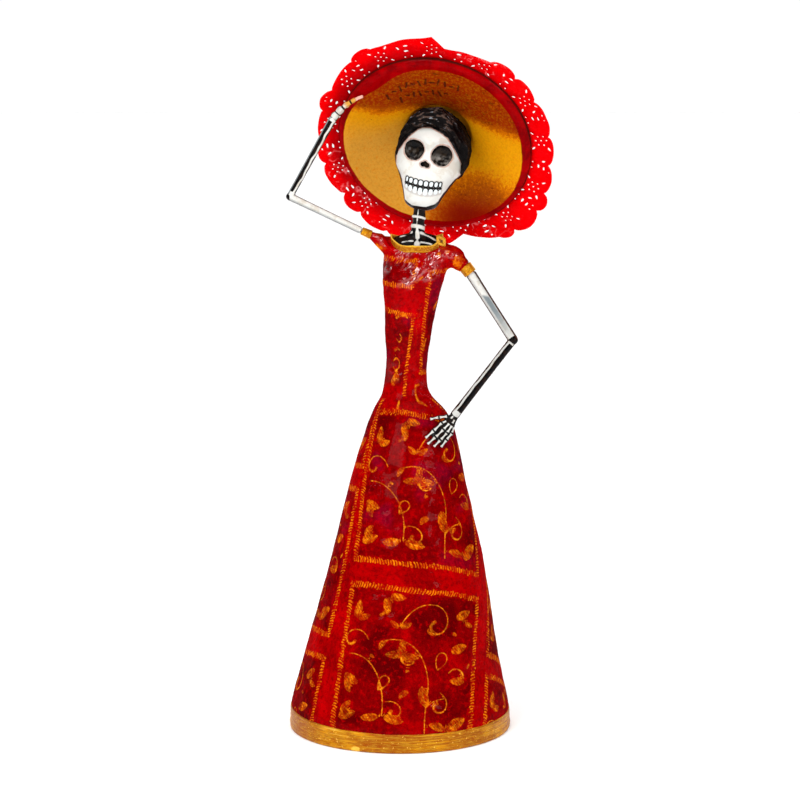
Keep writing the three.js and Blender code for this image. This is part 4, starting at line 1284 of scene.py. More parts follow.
def lace_paint(colours):
    """Glossy red lace paper, with painted highlights on its creases and painted shade near the brim."""
    material, recipe, place = new_material("lace_paint")
    red = recipe.cloudy(colours.lace_bright, colours.lace_red, colours.lace_red, 9.0, 0.3)
    shade = recipe.calc("ADD", recipe.measure("tone"), (place.grain(5, 3.0) - 0.5) * 0.5, clamp=True)
    red = recipe.mix(shade, red, colours.lace_deep)
    # Painted highlights: pale streaks on the creases where the lace is glossy
    crease = abs(place.grain(8) - 0.5).ramp(0.04, 0.0) * place.grain(5).ramp(0.48, 0.62)
    crease = recipe.calc("MULTIPLY", crease, recipe.measure("creased"), clamp=True)
    red = recipe.mix(crease, red, colours.lace_glint)
    layers = recipe.use(uneven_varnish, lumps=1.3, creases=0.35, brush=0.12, gloss=0.34)
    shine = recipe.measure("shine") * place.grain(4, 3.0, 0.6).ramp(0.46, 0.62)
    fold = place.grain(6, 1.5).creased()
    close_material(recipe, red, layers["Roughness"], layers["Height"], 0.5, coat=0.015 + shine * 0.9,
                   coat_rough=0.05, gloss=0.0, film=fold)
    return material


# Sizes and colours that a user would change

def length(name, description, default, low=0.0001, high=0.2):
    return FloatProperty(
        name=name, description=description, default=default, min=low, max=high, unit="LENGTH")


def tint(name, description, red, green, blue):
    return FloatVectorProperty(
        name=name, description=description, default=painted(red, green, blue), size=4, min=0.0, max=1.0,
        subtype="COLOR")


class CatrinaSizes(PropertyGroup):
    """Sizes of the figure's paint and relief"""

    gown_grain: length("Gown grain", "Size of the gown's mesh faces", 0.00108, 0.0009)
    head_grain: length("Head grain", "Size of the mesh faces on the skull", 0.00045, 0.0003)
    hair_grain: length("Hair grain", "Size of the mesh faces on the hair", 0.00062, 0.0004)
    bone_grain: length("Arm grain", "Size of the mesh faces on the arms and hands", 0.00042, 0.0003)
    panel_width: length("Panel width", "Width of a printed panel on the skirt", 0.083)
    panel_height: length("Panel height", "Height of a printed panel on the skirt", 0.0872)
    hatch_pitch: length("Hatch pitch", "Distance between the border's strokes", 0.0016)
    hatch_length: length("Hatch length", "Length of the border's strokes", 0.0037)
    lace_sheet: length("Lace thickness", "Thickness of the lace paper", 0.0005)
    lace_ruffle: length("Lace ruffle", "Height of the lace's small ruffles", 0.0011)
    lace_motifs: IntProperty(
        name="Lace motifs", description="How many punched flowers run round the lace",
        default=13, min=6, max=30)
    hat_sides: IntProperty(
        name="Hat sides", description="How many faces run round the hat", default=480, min=48, max=720)


class CatrinaColours(PropertyGroup):
    """Paints of the figure"""

    band_red: tint("Band red", "Plain red bands between the panels", 158, 0, 2)
    band_bright: tint("Bright band red", "Lighter drifts in the bands", 182, 0, 3)
    band_deep: tint("Deep band red", "Darker drifts in the bands", 132, 0, 2)
    panel_red: tint("Panel red", "Ground of the printed panels", 120, 0, 2)
    panel_bright: tint("Bright panel red", "Lighter drifts in the panels", 152, 0, 2)
    maroon: tint("Maroon", "Dark clouds in the panels", 84, 0, 2)
    purple: tint("Purple red", "Cool drifts in the panels", 124, 4, 40)
    stroke_orange: tint("Orange", "Print on the gown", 226, 120, 6)
    stroke_red: tint("Red orange", "Print on the gown where it is thin", 180, 54, 2)
    stroke_yellow: tint("Yellow orange", "Middle of the printed vines", 234, 156, 30)
    # Painted highlight: pale flecks as varnish glints, also the pale crazing in the varnish
    scuff: tint("Scuff", "Pale crazing in the varnish", 206, 120, 134)
    gold_bright: tint("Bright gold", "Gold paint where it is thick", 218, 146, 8)
    gold_deep: tint("Deep gold", "Gold paint where it is thin", 158, 78, 3)
    # The band at the edge of the painted shade inside the hat
    gold_orange: tint("Orange gold", "Band between the bright and the brown gold in the hat", 210, 112, 2)
    # Painted highlights on the strips' edges, and small painted glints
    gold_edge: tint("Gold edge", "Gold on the edges of the strips", 246, 196, 76)
    gold_olive: tint("Olive gold", "Greenish gold in the strips' brush strokes", 204, 158, 40)
    # Painted light on the gold inside the hat, on its left side
    gold_pale: tint("Pale gold", "Gold inside the hat on the lighter side", 200, 148, 66)
    gold_ground: tint("Ground under the gold", "What shows through worn gold", 84, 36, 4)
    # Painted shade high and low inside the hat, also brown specks and the worn streaks of the strips
    gold_brown: tint("Brown gold", "Dark gold high inside the hat", 138, 36, 2)
    # Painted reflection of the red gown on the gold low inside the hat
    gold_red: tint("Red gold", "Red thrown on the gold low inside the hat", 140, 8, 2)
    rim_red: tint("Rim red", "Hat rim and outside", 138, 0, 3)
    rim_bright: tint("Bright rim red", "Lighter drifts on the hat", 156, 0, 4)
    rim_dark: tint("Dark rim red", "Darker drifts on the hat", 112, 0, 3)
    lace_red: tint("Lace red", "Lace paper", 226, 0, 3)
    lace_bright: tint("Bright lace red", "Lighter drifts in the lace", 240, 0, 4)
    lace_deep: tint("Deep lace red", "Lace in the shade of the brim", 158, 0, 4)
    # Painted highlight on the lace's creases
    lace_glint: tint("Lace glint", "Pale creases in the lace paper", 240, 116, 120)
    bone_white: tint("Bone white", "Bones and face", 216, 214, 208)
    bone_warm: tint("Warm bone", "Warm drifts in the bones", 203, 196, 184)
    bone_grey: tint("Bone shade", "Painted shade on the bones", 98, 110, 116)
    tooth_white: tint("Tooth white", "Teeth", 216, 224, 226)
    gum_grey: tint("Gum shade", "Painted shade round the teeth", 150, 138, 138)
    ink: tint("Black", "Black between the bones", 8, 7, 8)
    ink_brown: tint("Brown black", "Brown drifts in the black", 28, 16, 11)
    line_brown: tint("Brown line", "Thin lines along the hair and the sockets", 158, 84, 48)
    line_dark: tint("Dark line", "Thin lines along the arms", 74, 40, 30)
    socket: tint("Socket", "Floor of the eye sockets", 36, 27, 19)
    # Painted highlight low in the eye sockets
    socket_light: tint("Socket glimmer", "Lighter floor low in the eye sockets", 150, 142, 134)
    # Painted reflection of the gold hat on the raised finger, and a painted highlight at its tip
    finger_gold: tint("Finger gold", "Raised finger over the gold", 206, 150, 60)
    finger_pink: tint("Finger pink", "Tip of the raised finger", 232, 176, 160)
    hair_black: tint("Hair black", "Hair in its folds", 8, 5, 5)
    hair_brown: tint("Hair brown", "Hair", 18, 11, 9)
    hair_glint: tint("Hair glint", "Hair on its ridges", 80, 62, 54)
    hair_shine: tint("Hair shine", "Cool light on the hair's highest ridges", 128, 134, 142)
    floor: tint("Floor", "Floor under the figure", 250, 250, 250)


# Pieces

class CATRINA_OT_gown(Operator):
    """Builds the gown with its short sleeves and lays the printed paper on it"""

    bl_idname = "catrina.gown"
    bl_label = "Gown"

    def execute(self, context):
        sizes = context.scene.catrina_sizes
        heights = np.arange(0, GOWN_RINGS[-1][0] + 0.01, 2)
        heights = np.append(heights[heights < GOWN_RINGS[-1][0] - 1], GOWN_RINGS[-1][0])
        rings = []
        for height in heights:
            x, y, *others = [measure_at(GOWN_RINGS, column, height) for column in range(1, 6)]
            rings.append(oval(GOWN_SIDES, x, y, height, *others))
        body = lofted(rings)
        sleeves = [limb(smooth_path(stations, 6), SLEEVE_SIDES) for stations in (RIGHT_SLEEVE, LEFT_SLEEVE)]
        gown = remeshed("gown", joined([body, *sleeves]), sizes.gown_grain / MM, 4)
        places = places_of(gown)

        # Lumps and creases of the pasted paper
        height = places[:, 2]
        on_top = fade(height, *GOWN_WAIST)
        swell = lumps(places, 13, 2, 1) * (0.35 + 0.2 * on_top)
        crease = np.abs(lumps(places, 8, 2, 2))
        swell -= (0.15 - crease) * 0.5 * on_top * (crease < 0.15)
        on_bust = fade(height, *GOWN_BUST)
        swell += (lumps(places, 6, 2, 15) * 0.3 - 0.1) * on_bust
        swell += 0.35 * (0.4 - np.abs(lumps(places, 8, 1, 16))) * on_bust
        swell = np.where(height < GOWN_PLAIN[0], np.minimum(swell, 0) * 0.3, swell)
        swell -= 0.25 * fade(height, *GOWN_PLAIN)
        places = places + normals_of(gown) * swell[:, None]

        # Keeps the neckline under its strip, and the foot on the ground
        aside = (places[:, 0] - NECK_STRIP["x"]) / NECK_STRIP["wide"]
        deep = places[:, 1] / NECK_STRIP["deep"]
        near = fade(np.hypot(aside, deep), 1.45, 1.15) * (deep < 0.3)
        top = np.minimum(places[:, 2], strip_lift(np.arctan2(deep, aside)) - 1.4)
        places[:, 2] += (top - places[:, 2]) * near * (aside < 0.9)
        places[:, 2] = np.clip(places[:, 2], 0, None)
        move_to(gown, places)
        print_on_gown(gown, sizes)
        finish_piece(gown, "dress", gown_paint(context.scene.catrina_colours, sizes))
        return {"FINISHED"}


def strip_lift(angle):
    """Height of the neckline strip's middle, round the neck."""
    front = np.clip(-np.sin(angle), 0, 1)
    dip = NECK_STRIP["dip"] * np.minimum(1.15 * front ** 0.7, 1)
    return NECK_STRIP["z"] - dip + 1.6 * np.abs(np.cos(angle)) ** 8


class CATRINA_OT_gold_strips(Operator):
    """Builds the gold strips at the hem, the neckline and the sleeves"""

    bl_idname = "catrina.gold_strips"
    bl_label = "Gold strips"

    def execute(self, context):
        colours = context.scene.catrina_colours
        self.hem(gold_trim(colours, "hem_gold", (0.22, 0.22, 3.4), 1.0))
        fine = gold_trim(colours, "trim_gold", (1.0, 1.0, 1.6), 0.35)
        self.neckline(fine)
        for side, cuff in CUFFS.items():
            self.cuff(side, cuff, fine)
        return {"FINISHED"}

    def hem(self, material):
        """A strip that is pasted round the foot of the gown, thicker at its lower edge."""
        wide = HEM["wide"]
        inner = wide - HEM["thick"]
        outer_heights = np.linspace(0, HEM["height"], 24)
        rings = []
        for angle in turns(HEM_SIDES):
            lip = ripple(angle, 9, 7)
            lean = math.cos(angle - math.radians(HEM["lowest"]))
            edge = HEM["height"] - HEM["lean"] * lean - 0.2 + 0.25 * ripple(angle, 5, 0)
            outline = [(inner, 0)]
            for height in outer_heights:
                t = height / HEM["height"]
                bulge = 0.35 * bell(height, 2.2, 1.3) * (0.5 + lip)
                sink = 0.3 * abs(ripple(angle, 4, height * 0.5))
                radius = wide - 0.25 - HEM["taper"] * t - sink + min(bulge, 0.25 + sink)
                radius -= 0.3 * (1 - fade(height, 0, 0.8)) + 0.3 * fade(t, 0.94, 1)
                outline.append((radius, t * edge))
            outline.append((inner, edge))
            rings.append([(r * math.cos(angle), r * math.sin(angle), z) for r, z in outline])
        strip = new_object("hem_strip", *lofted(rings, closed=True))
        places = places_of(strip)
        # Painted light and shade along the hem's brush streaks, with painted glints near its foot
        around = places * (0.05, 0.05, 1.6)
        brushed = 0.3 + lumps(around, 1.6, 2, 20) * 0.6 + lumps(places, 40, 1, 21) * 0.5
        glint = 0.7 * fade(lumps(places, 6, 2, 22), 0.3, 0.7) * fade(places[:, 2], 5, 2)
        keep(strip, "lit", np.clip(brushed + glint, 0, 0.9))
        finish_piece(strip, "hem_band", material)

    def neckline(self, material):
        """A folded strip round the neckline that ends in a small loop."""
        s = NECK_STRIP
        rings = []
        for angle in turns(NECK_STRIP_SIDES):
            cos = math.cos(angle)
            sin = math.sin(angle)
            corner = 1 + 0.035 * math.cos(4 * angle)
            lift = strip_lift(angle) + 0.3 * ripple(angle, 3, 2)
            waver = 0.15 * ripple(angle, 6, 5)

            def at(out, up):
                return (
                    s["x"] + (s["wide"] * corner + out - 0.35 + waver) * cos,
                    (s["deep"] * corner + out - 0.25 + waver) * sin,
                    lift + up,
                )

            half = s["height"] / 2 - 0.15
            thick = s["thick"]
            rings.append([
                at(0.45, half), at(0.2 + thick, half), at(0.42 + thick, half - 0.35), at(0.26 + thick, 0.7),
                at(0.1 + thick, 0.1), at(0.22 + thick, -0.5), at(0.05 + thick, 0.35 - half),
                at(thick - 0.2, -half), at(0, -half), at(0.1, 0),
            ])
        band = lofted(rings, closed=True)
        strip = new_object("neckline_strip", *joined([band, self.loop_form()]))
        # Painted highlight along the strip's top edge, painted shade on its face, a weaker highlight on the
        # loop
        lit = np.full(len(places_of(strip)), 0.75)
        lit[:len(band[0])] = np.tile([1, 1, 0.8, 0, 0, 0, 0.3, 0.6, 0.3, 0.3], len(rings))
        keep(strip, "lit", lit)
        finish_piece(strip, "neckline_band", material)

    def loop_form(self):
        """The strip's end, bent into a small open loop with rounded corners."""
        loop = NECK_LOOP
        front = np.array((0, -1, 0)) * loop["deep"]
        rings = []
        for angle in turns(NECK_LOOP_SIDES):
            outward = np.array((math.cos(angle), 0, math.sin(angle)))
            across, _, up = np.sign(outward) * np.abs(outward) ** 0.42
            across *= loop["long"] / 2
            up = up * loop["tall"] / 2 - loop["slant"] * across / 2.3
            centre = np.array(loop["at"]) + (across, 0, up) - outward * 0.75
            wall = outward * 0.85
            rings.append([
                centre + wall * side + front * share
                for side, share in ((1, 0.04), (1.15, 0.5), (1, 0.98), (-1, 0.98), (-0.9, 0.5), (-1, 0.04))
            ])
        return lofted(rings, closed=True)

    def cuff(self, side, cuff, material):
        """A short gold tube with one overlapping edge."""
        inner = Vector(cuff["inner"])
        outer = Vector(cuff["outer"])
        axis = (outer - inner).normalized()
        reach = (outer - inner).length
        across = np.array(Vector((0, 1, 0)).cross(axis).normalized())
        back = np.cross(np.array(axis), across)
        start_radius, end_radius = cuff["radii"]
        rings = []
        for angle in turns(CUFF_SIDES):
            direction = across * math.cos(angle) + back * math.sin(angle)
            seam = 0.12 * bell(angle, 3.9, 0.14)
            waver = 0.08 * ripple(angle, 2, reach)
            outline = []
            for t, out in ((0, -CUFF_WALL), (0, -0.12), (0.06, 0), (0.35, -0.06), (0.65, -0.02), (0.94, 0),
                           (1, -0.12), (1, -CUFF_WALL), (0.5, -CUFF_WALL)):
                radius = start_radius + (end_radius - start_radius) * t + out
                if out > -CUFF_WALL:
                    radius += seam + waver - 0.1
                outline.append(np.array(inner.lerp(outer, t)) + direction * radius)
            rings.append(outline)
        strip = new_object(side + "_cuff_strip", *lofted(rings, closed=True))
        # Painted highlight on one flank of the cuff and painted shade on the other
        away = places_of(strip) - np.array(inner)
        upward = (away @ across) / np.linalg.norm(away - np.outer(away @ np.array(axis), axis), axis=1)
        keep(strip, "lit", 0.5 - 0.35 * fade(np.abs(upward), 0.2, 0.7) + 0.8 * fade(-upward, 0.7, 0.95))
        finish_piece(strip, side + "_cuff", material)


def bone_gap(places, bones):
    """Distance from places to painted bones, less their half width."""
    gap = far(places)
    for path, width in bones:
        path = smooth_path(path, 5) if len(path) > 2 else np.array(path, dtype=float)
        for start, end in zip(path[:-1], path[1:]):
            run = end - start
            t = np.clip((places - start) @ run / (run @ run), 0, 1)
            away = np.linalg.norm(start + t[:, None] * run - places, axis=1)
            gap = np.minimum(gap, away - width)
    return gap


class CATRINA_OT_neck(Operator):
    """Builds the black chest and neck with their white bones"""

    bl_idname = "catrina.neck"
    bl_label = "Neck and chest"

    def execute(self, context):
        foot_x, foot_z = NECK_FOOT
        heights = np.concatenate([np.linspace(-6.6, 0.8, 12), np.arange(1.1, 26.01, 0.36)])
        rings = []
        for up in heights:
            x, y, wide, deep, tilt = [measure_at(NECK_RINGS, column, up) for column in range(1, 6)]
            rings.append(oval(NECK_SIDES, foot_x + x, y, foot_z + up, wide, deep, NECK_DIP * tilt))
        neck = new_object("neck_bones", *lofted(rings))
        places = places_of(neck)
        height = places[:, 2]
        front = -(places[:, 1] - np.interp(height, *zip(*NECK_DEPTH)))
        middle = np.interp(height, *zip(*NECK_ACROSS))
        across = places[:, 0] - middle
        on_neck = height > NECK_START
        gap = bone_gap(places, CHEST_BONES)
        waist = np.zeros(len(places))
        for band, half in NECK_BANDS:
            rise = np.abs(height - band + 0.04 * across ** 2 + 0.2 * across) - half
            gap = np.where(on_neck, np.minimum(gap, rise), gap)
            waist += np.where(on_neck, 0.3 * bell(height, band, 1.6), 0)
        thin = 0.3 + 0.12 * np.sin(height * 1.7)
        spine = np.maximum(np.abs(across + 0.9) - thin, -front)
        gap = np.where(on_neck, np.minimum(gap, spine), gap)
        relief = 0.4 * fade(-gap, -0.5, 0.5)
        move_to(neck, places + normals_of(neck) * (relief + waist - 0.45)[:, None])
        keep(neck, "bone", gap)
        keep(neck, "line", np.full(len(places), NO_LINE))
        keep(neck, "shade", fade(gap, -0.35, 0.1) * 0.7)
        material = bone_paint(context.scene.catrina_colours, "chest_paint")
        finish_piece(neck, "neck_and_chest", material)
        return {"FINISHED"}


class CATRINA_OT_hair(Operator):
    """Builds the hair: a crumpled roll round the face over a cap that fills the hat's crown"""

    bl_idname = "catrina.hair"
    bl_label = "Hair"

    def execute(self, context):
        sizes = context.scene.catrina_sizes
        points, faces = ball(HAIR_CAP["at"], HAIR_CAP["size"], 56)
        across, forward, up = points.T
        cap = in_head(across, np.minimum(forward, HAIR_FRONT), np.maximum(up, HAIR_FOOT)), faces
        path = smooth_path(HAIR_ROLL, 4)
        middles = in_head(path[:, 0], HAIR_FORWARD, path[:, 1])
        roll = limb(np.column_stack([middles, path[:, 2]]), 28)
        hair = remeshed("hair_roll", joined([cap, roll]), sizes.hair_grain / MM, 4)
        places = places_of(hair)
        middle_across, middle_up = HAIR_MIDDLE
        across, forward, up = head_measures(places)
        angle = np.arctan2(up - middle_up, across - middle_across)
        spread = np.hypot(up - middle_up, across - middle_across)
        ridge = 1 - np.abs(lumps(columns(angle * 7, spread * 1.15, forward * 0.8), 3.4, 3, 6)) * 2.6
        ridge = np.clip(ridge, 0, 1)
        crumple = lumps(places, 5.5, 2, 7)
        push = 0.75 * ridge + 0.7 * crumple - 0.75
        places = places + normals_of(hair) * push[:, None]

        # Keeps the roll within its outline and inside the hat
        across, forward, up = head_measures(places)
        turn = np.degrees(np.arctan2(up - middle_up, across - middle_across))
        turn = np.where(turn < -60, turn + 360, turn)
        reach = np.interp(turn, *zip(*HAIR_REACH)) + 0.5 * crumple
        pull = np.minimum(reach / np.maximum(np.hypot(up - middle_up, across - middle_across), 1), 1)
        across = middle_across + (across - middle_across) * pull
        up = middle_up + (up - middle_up) * pull
        places = in_head(across, forward, np.maximum(up, HAIR_FOOT - 0.1))
        radius, turn, depth = hat_measures(places)
        limit = np.interp(radius, *zip(*CROWN_INSIDE, *BRIM_INSIDE)) - 0.5
        move_to(hair, in_hat(radius, turn, np.minimum(depth, limit)))
        keep(hair, "ridge", ridge)
        keep(hair, "strand", columns(angle * 4, spread * 1.3, forward * 0.6))
        # Where the painted highlights lie: on the hair's top, less toward its right
        keep(hair, "lit", 0.06 + 0.94 * fade(up, 43, 49) * fade(spread, 13, 18) * fade(across, 13, 7))
        finish_piece(hair, "hair", hair_paint(context.scene.catrina_colours))
        return {"FINISHED"}


def outline_gap(x, y, outline):
    """Distance to the edge of a flat outline, below nothing inside it."""
    gap = np.full(len(x), math.inf)
    inside = np.zeros(len(x), dtype=bool)
    for (x0, y0), (x1, y1) in zip(outline, outline[1:] + outline[:1]):
        run_x = x1 - x0
        run_y = y1 - y0
        t = np.clip(((x - x0) * run_x + (y - y0) * run_y) / (run_x ** 2 + run_y ** 2), 0, 1)
        gap = np.minimum(gap, np.hypot(x - x0 - t * run_x, y - y0 - t * run_y))
        if y0 != y1:
            crossed = ((y0 > y) != (y1 > y)) & (x < (y - y0) / run_y * run_x + x0)
            inside ^= crossed
    return np.where(inside, -gap, gap)


def rounded_box(dx, dy, half_x, half_y, corner):
    """Signed distance to a rectangle with round corners."""
    qx = np.abs(dx) - half_x + corner
    qy = np.abs(dy) - half_y + corner
    outside = np.hypot(np.maximum(qx, 0), np.maximum(qy, 0))
    return outside + np.minimum(np.maximum(qx, qy), 0) - corner


def lens(across, up, eye):
    """Distance to an oval's edge, roughly in millimetres."""
    middle_x, middle_y, wide, tall = eye
    reach = np.hypot((across - middle_x) / wide, (up - middle_y) / tall)
    return (reach - 1) * min(wide, tall)


class CATRINA_OT_skull(Operator):
    """Builds the skull with its sockets, nose hollow and teeth. The hair has to be there first"""

    bl_idname = "catrina.skull"
    bl_label = "Skull"

    def execute(self, context):
        sizes = context.scene.catrina_sizes
        rings = []
        for up in np.linspace(0, SKULL_RINGS[-1][0], 64):
            forward, wide, deep = [measure_at(SKULL_RINGS, column, up) for column in (1, 2, 3)]
            rings.append(in_head(*oval(SKULL_SIDES, 0, forward, up, wide, -deep).T))
        form = lofted(rings)
        points, faces = ball(MOUTH_RIDGE["at"], MOUTH_RIDGE["size"], 48)
        form = joined([form, (in_head(*points.T), faces)])
        skull = remeshed("skull_face", form, sizes.head_grain / MM, 10)
        self.carve(skull)
        finish_piece(skull, "skull", skull_paint(context.scene.catrina_colours))
        return {"FINISHED"}

    def carve(self, skull):
        """Presses the features into the skull and stores the distances to their edges."""
        places = places_of(skull)
        across, forward, up = head_measures(places)
        ahead = fade(forward, 6, 9)
        push = np.zeros(len(places))

        # Cheeks, brows and temples
        for side in (-1, 1):
            push += 0.9 * bell(across, side * 12.5, 4.2) * bell(up, 23, 4)
            push -= 0.8 * bell(across, side * 14.5, 3) * bell(up, 15, 3.6)
        push += 0.5 * bell(across, -0.6, 2.2) * bell(up, 29.5, 4)
        push += 0.35 * bell(up, 39.6, 2.4)

        socket = far(places)
        glimmer = np.zeros(len(places))
        wobble = lumps(places, 4, 1, 8) * 0.35
        for eye in EYES:
            gap = lens(across, up, eye) + wobble
            socket = np.minimum(socket, gap)
            share = np.clip(-gap / min(eye[2:]), 0, 1)
            push -= 4.4 * (1 - (1 - share) ** 2) ** 0.62
            push += 0.3 * bell(gap, 0.7, 0.7)
            # Where painted glimmers lie: low in each socket, more in the eye on the viewer's right
            glimmer += fade(eye[1] - up, -1.6, 3) * (gap < 0) * (0.55 + 0.25 * np.sign(eye[0]))
        nose = far(places)
        for lobe in NOSE_LOBES:
            nose = np.minimum(nose, lens(across, up, lobe))
        push -= 2.2 * fade(-nose, -0.3, 1.2)
        push += 0.25 * bell(nose, 0.8, 0.6)
        socket = np.minimum(socket, nose + 0.15)

        beyond = outline_gap(across, up, FACE_EDGE)
        push += 0.8 * fade(beyond, -0.1, 0.7) * fade(up, 25, 28)
        tooth, mouth, bite, gum = self.teeth(across, up)
        push += 0.5 * fade(-tooth, -0.25, 0.5) * ahead - 0.25 * fade(-mouth, -0.2, 0.4) * ahead
        push -= 0.4 * fade(-bite, -0.3, 0.2) * ahead
        push += lumps(places, 7, 2, 9) * 0.22

        out = normals_of(skull)
        head_forward = HEAD_FRAME @ np.array((0, -1, 0))
        deep = np.minimum(push, 0)[:, None] * head_forward
        proud = np.maximum(push, 0)[:, None] * out * 0.9
        moved = np.where(ahead[:, None] > 0, places + (deep + proud) * ahead[:, None], places)
        move_to(skull, moved)

        keep(skull, "glimmer", glimmer)
        keep(skull, "tooth", tooth)
        hairline = np.where(up > 23, np.minimum(np.abs(beyond + 0.15) - 0.3, self.hairline(moved)), FAR)
        rim = np.minimum(np.abs(socket - 0.32) - 0.24, hairline)
        faced = {"socket": socket, "mouth": mouth, "bite": bite, "gum": gum, "rim": rim}
        for name, distance in faced.items():
            keep(skull, name, np.where(ahead > 0, distance, FAR))
        middle = measures(SKULL_RINGS, 1, np.clip(up, 0, 47))
        depth = measures(SKULL_RINGS, 3, np.clip(up, 0, 47))
        share = np.interp(up, [0, 4, 12, 20, 23, 30], [0.34, 0.4, 0.4, 0.3, 0, -0.5])
        behind = forward - middle - depth * share
        under = up - np.interp(np.abs(across - 1.5), [0, 4, 8], [1.4, 1.7, 2.4])
        keep(skull, "behind", np.minimum(np.minimum(behind, under), -beyond))
        shade = 0.5 * fade(np.abs(across), 10, 16) * fade(up, 24, 17)
        shade += 0.35 * fade(np.abs(across - 1), 12, 19) * fade(up, 20, 26)
        shade += 0.3 * fade(up, 6, 2) + 0.12 * np.clip(lumps(places, 9, 2, 23), 0, 1)
        shade += 0.3 * bell(socket, 1, 1.6) * fade(up, 31, 36)
        keep(skull, "shade", np.clip(shade, 0, 1))

    def teeth(self, across, up):
        """Distances to the teeth, the dark mouth behind them, the bite line and the gums' shade."""
        bend = (across / 10) ** 2
        top = 16.8 + 0.8 * bend
        line = 13 + 0.85 * bend
        foot = 7.9 + 2.4 * bend
        tooth = far(across)
        for left, right in zip(TOOTH_EDGES[:-1], TOOTH_EDGES[1:]):
            aside = across - (left + right) / 2
            half = (right - left) / 2 - 0.42
            upper = rounded_box(aside, up - (top + line) / 2 - 0.15, half, (top - line) / 2 - 0.5, 0.9)
            lower = rounded_box(aside - 0.3, up - (line + foot) / 2, half + 0.1, (line - foot) / 2 - 0.6, 1.1)
            tooth = np.minimum(tooth, np.minimum(upper, lower))
        sides = np.abs(across) - 10.6
        mouth = np.maximum(np.maximum(up - top - 0.3, foot + 2.4 - up), np.maximum(sides, tooth - 0.6))
        bite = np.maximum(np.abs(up - line) - 0.5, sides)
        gum = np.maximum(np.maximum(up - top - 0.2, foot - 0.2 - up), sides - 0.2)
        return tooth, mouth, bite, gum

    def hairline(self, places):
        """Distance from the skull to the hair, less the width of the brown line along it."""
        hair = bpy.data.objects.get("hair_roll")
        if hair is None:
            return far(places)
        tree = BVHTree.FromPolygons(
            [vertex.co for vertex in hair.data.vertices], [face.vertices for face in hair.data.polygons])
        reach = []
        for place in places * MM:
            found = tree.find_nearest(place, 0.004)
            reach.append(FAR if found[3] is None else found[3] / MM)
        return np.array(reach) - 0.35


class CATRINA_OT_hat(Operator):
    """Builds the hat, gold inside its brim and red outside"""

    bl_idname = "catrina.hat"
    bl_label = "Hat"

    def execute(self, context):
        sizes = context.scene.catrina_sizes
        outline = CROWN_INSIDE + BRIM_INSIDE + BRIM_EDGE + BRIM_OUTSIDE + CROWN_OUTSIDE
        profile = smooth_path(outline, HAT_STEPS)
        stations = np.arange(len(profile))
        brim = len(CROWN_INSIDE) * HAT_STEPS
        close = brim + 3 * HAT_STEPS
        edge_start = brim + len(BRIM_INSIDE) * HAT_STEPS
        along = np.concatenate([np.arange(brim), np.arange(brim, close, 0.4), np.arange(close, len(profile))])
        profile = columns(*[np.interp(along, stations, column) for column in profile.T])
        angle = turns(sizes.hat_sides)
        rings = [in_hat(radius, angle, depth) for radius, depth in profile]
        hat = new_object("hat_bowl", *lofted(rings))
        places = places_of(hat)
        swell = lumps(places, 14, 2, 11) * 0.28 - 0.1
        radius, turn, depth = hat_measures(places)
        high = radius * np.sin(turn)
        aside = radius * np.cos(turn)
        ring = np.repeat(along, sizes.hat_sides)
        mark = np.where(ring < edge_start, self.marks(aside, high), FAR)
        swell -= 0.3 * fade(mark, 0.2, -0.3)
        places = places + normals_of(hat) * swell[:, None]
        move_to(hat, places)
        radius, turn, depth = hat_measures(places)
        edge = measures(GOLD_EDGE, 1, np.degrees(turn) % 360)
        gap = np.where(ring < edge_start + HAT_STEPS, radius - edge, FAR)
        keep(hat, "round_hat", columns(radius, turn * 10, gap))
        # Painted light and shade inside the hat: painted shade high up and low on the right, a painted
        # reflection of the red gown low on the right, and painted light on the left
        drift = lumps(places, 16, 1, 14) * 4
        rise = high + 0.14 * aside + drift
        top = fade(rise, 7, 26) + 0.2 * fade(rise, 10, 24)
        low = 0.66 * fade(high + drift, -12, -36) * fade(aside + drift, -18, 20)
        red = fade(high, -31, -45) * fade(aside + drift, -18, 12)
        pale = fade(aside, 24, -26) * fade(high + drift, 14, -3)
        keep(hat, "tone", columns(top + low, red, pale))
        keep(hat, "mark", mark)
        finish_piece(hat, "hat", hat_paint(context.scene.catrina_colours))
        return {"FINISHED"}

    def marks(self, aside, high):
        """Distance to two rows of short separate strokes, pressed in high inside the brim."""
        gap = far(aside)
        for row, (height, reach) in enumerate(MARK_ROWS):
            for k in range(int(2 * reach / MARK_PITCH)):
                x = (k + 0.5) * MARK_PITCH - reach - 5
                chance = (k * 0.618 + row * 0.37) % 1 - 0.5
                y = height + 1.8 * chance - 0.016 * x * x
                half_x, half_y = (1.4, 0.6) if k % 3 == 1 else (0.6, 2.4)
                lean = 0.7 * chance * (high - y)
                stroke = np.maximum(np.abs(aside - x - lean) - half_x, np.abs(high - y) - half_y)
                gap = np.minimum(gap, stroke)
        return gap


def lace_edge(samples):
    """Angles and reaches along the lace's cut edge."""
    angles = []
    reaches = []
    for i, (start, reach, bulge) in enumerate(LACE_LOBES):
        after, next_reach, _ = LACE_LOBES[(i + 1) % len(LACE_LOBES)]
        width = math.radians((after - start) % 360)
        steps = max(int(width / math.tau * samples), 4)
        for k in range(steps):
            t = k / steps
            straight = reach * next_reach * math.sin(width)
            straight /= reach * math.sin(width * t) + next_reach * math.sin(width * (1 - t))
            angles.append(math.radians(start) + width * t)
            reaches.append(straight + bulge * math.sin(math.pi * t) ** 0.6)
    return np.array(angles), np.array(reaches)


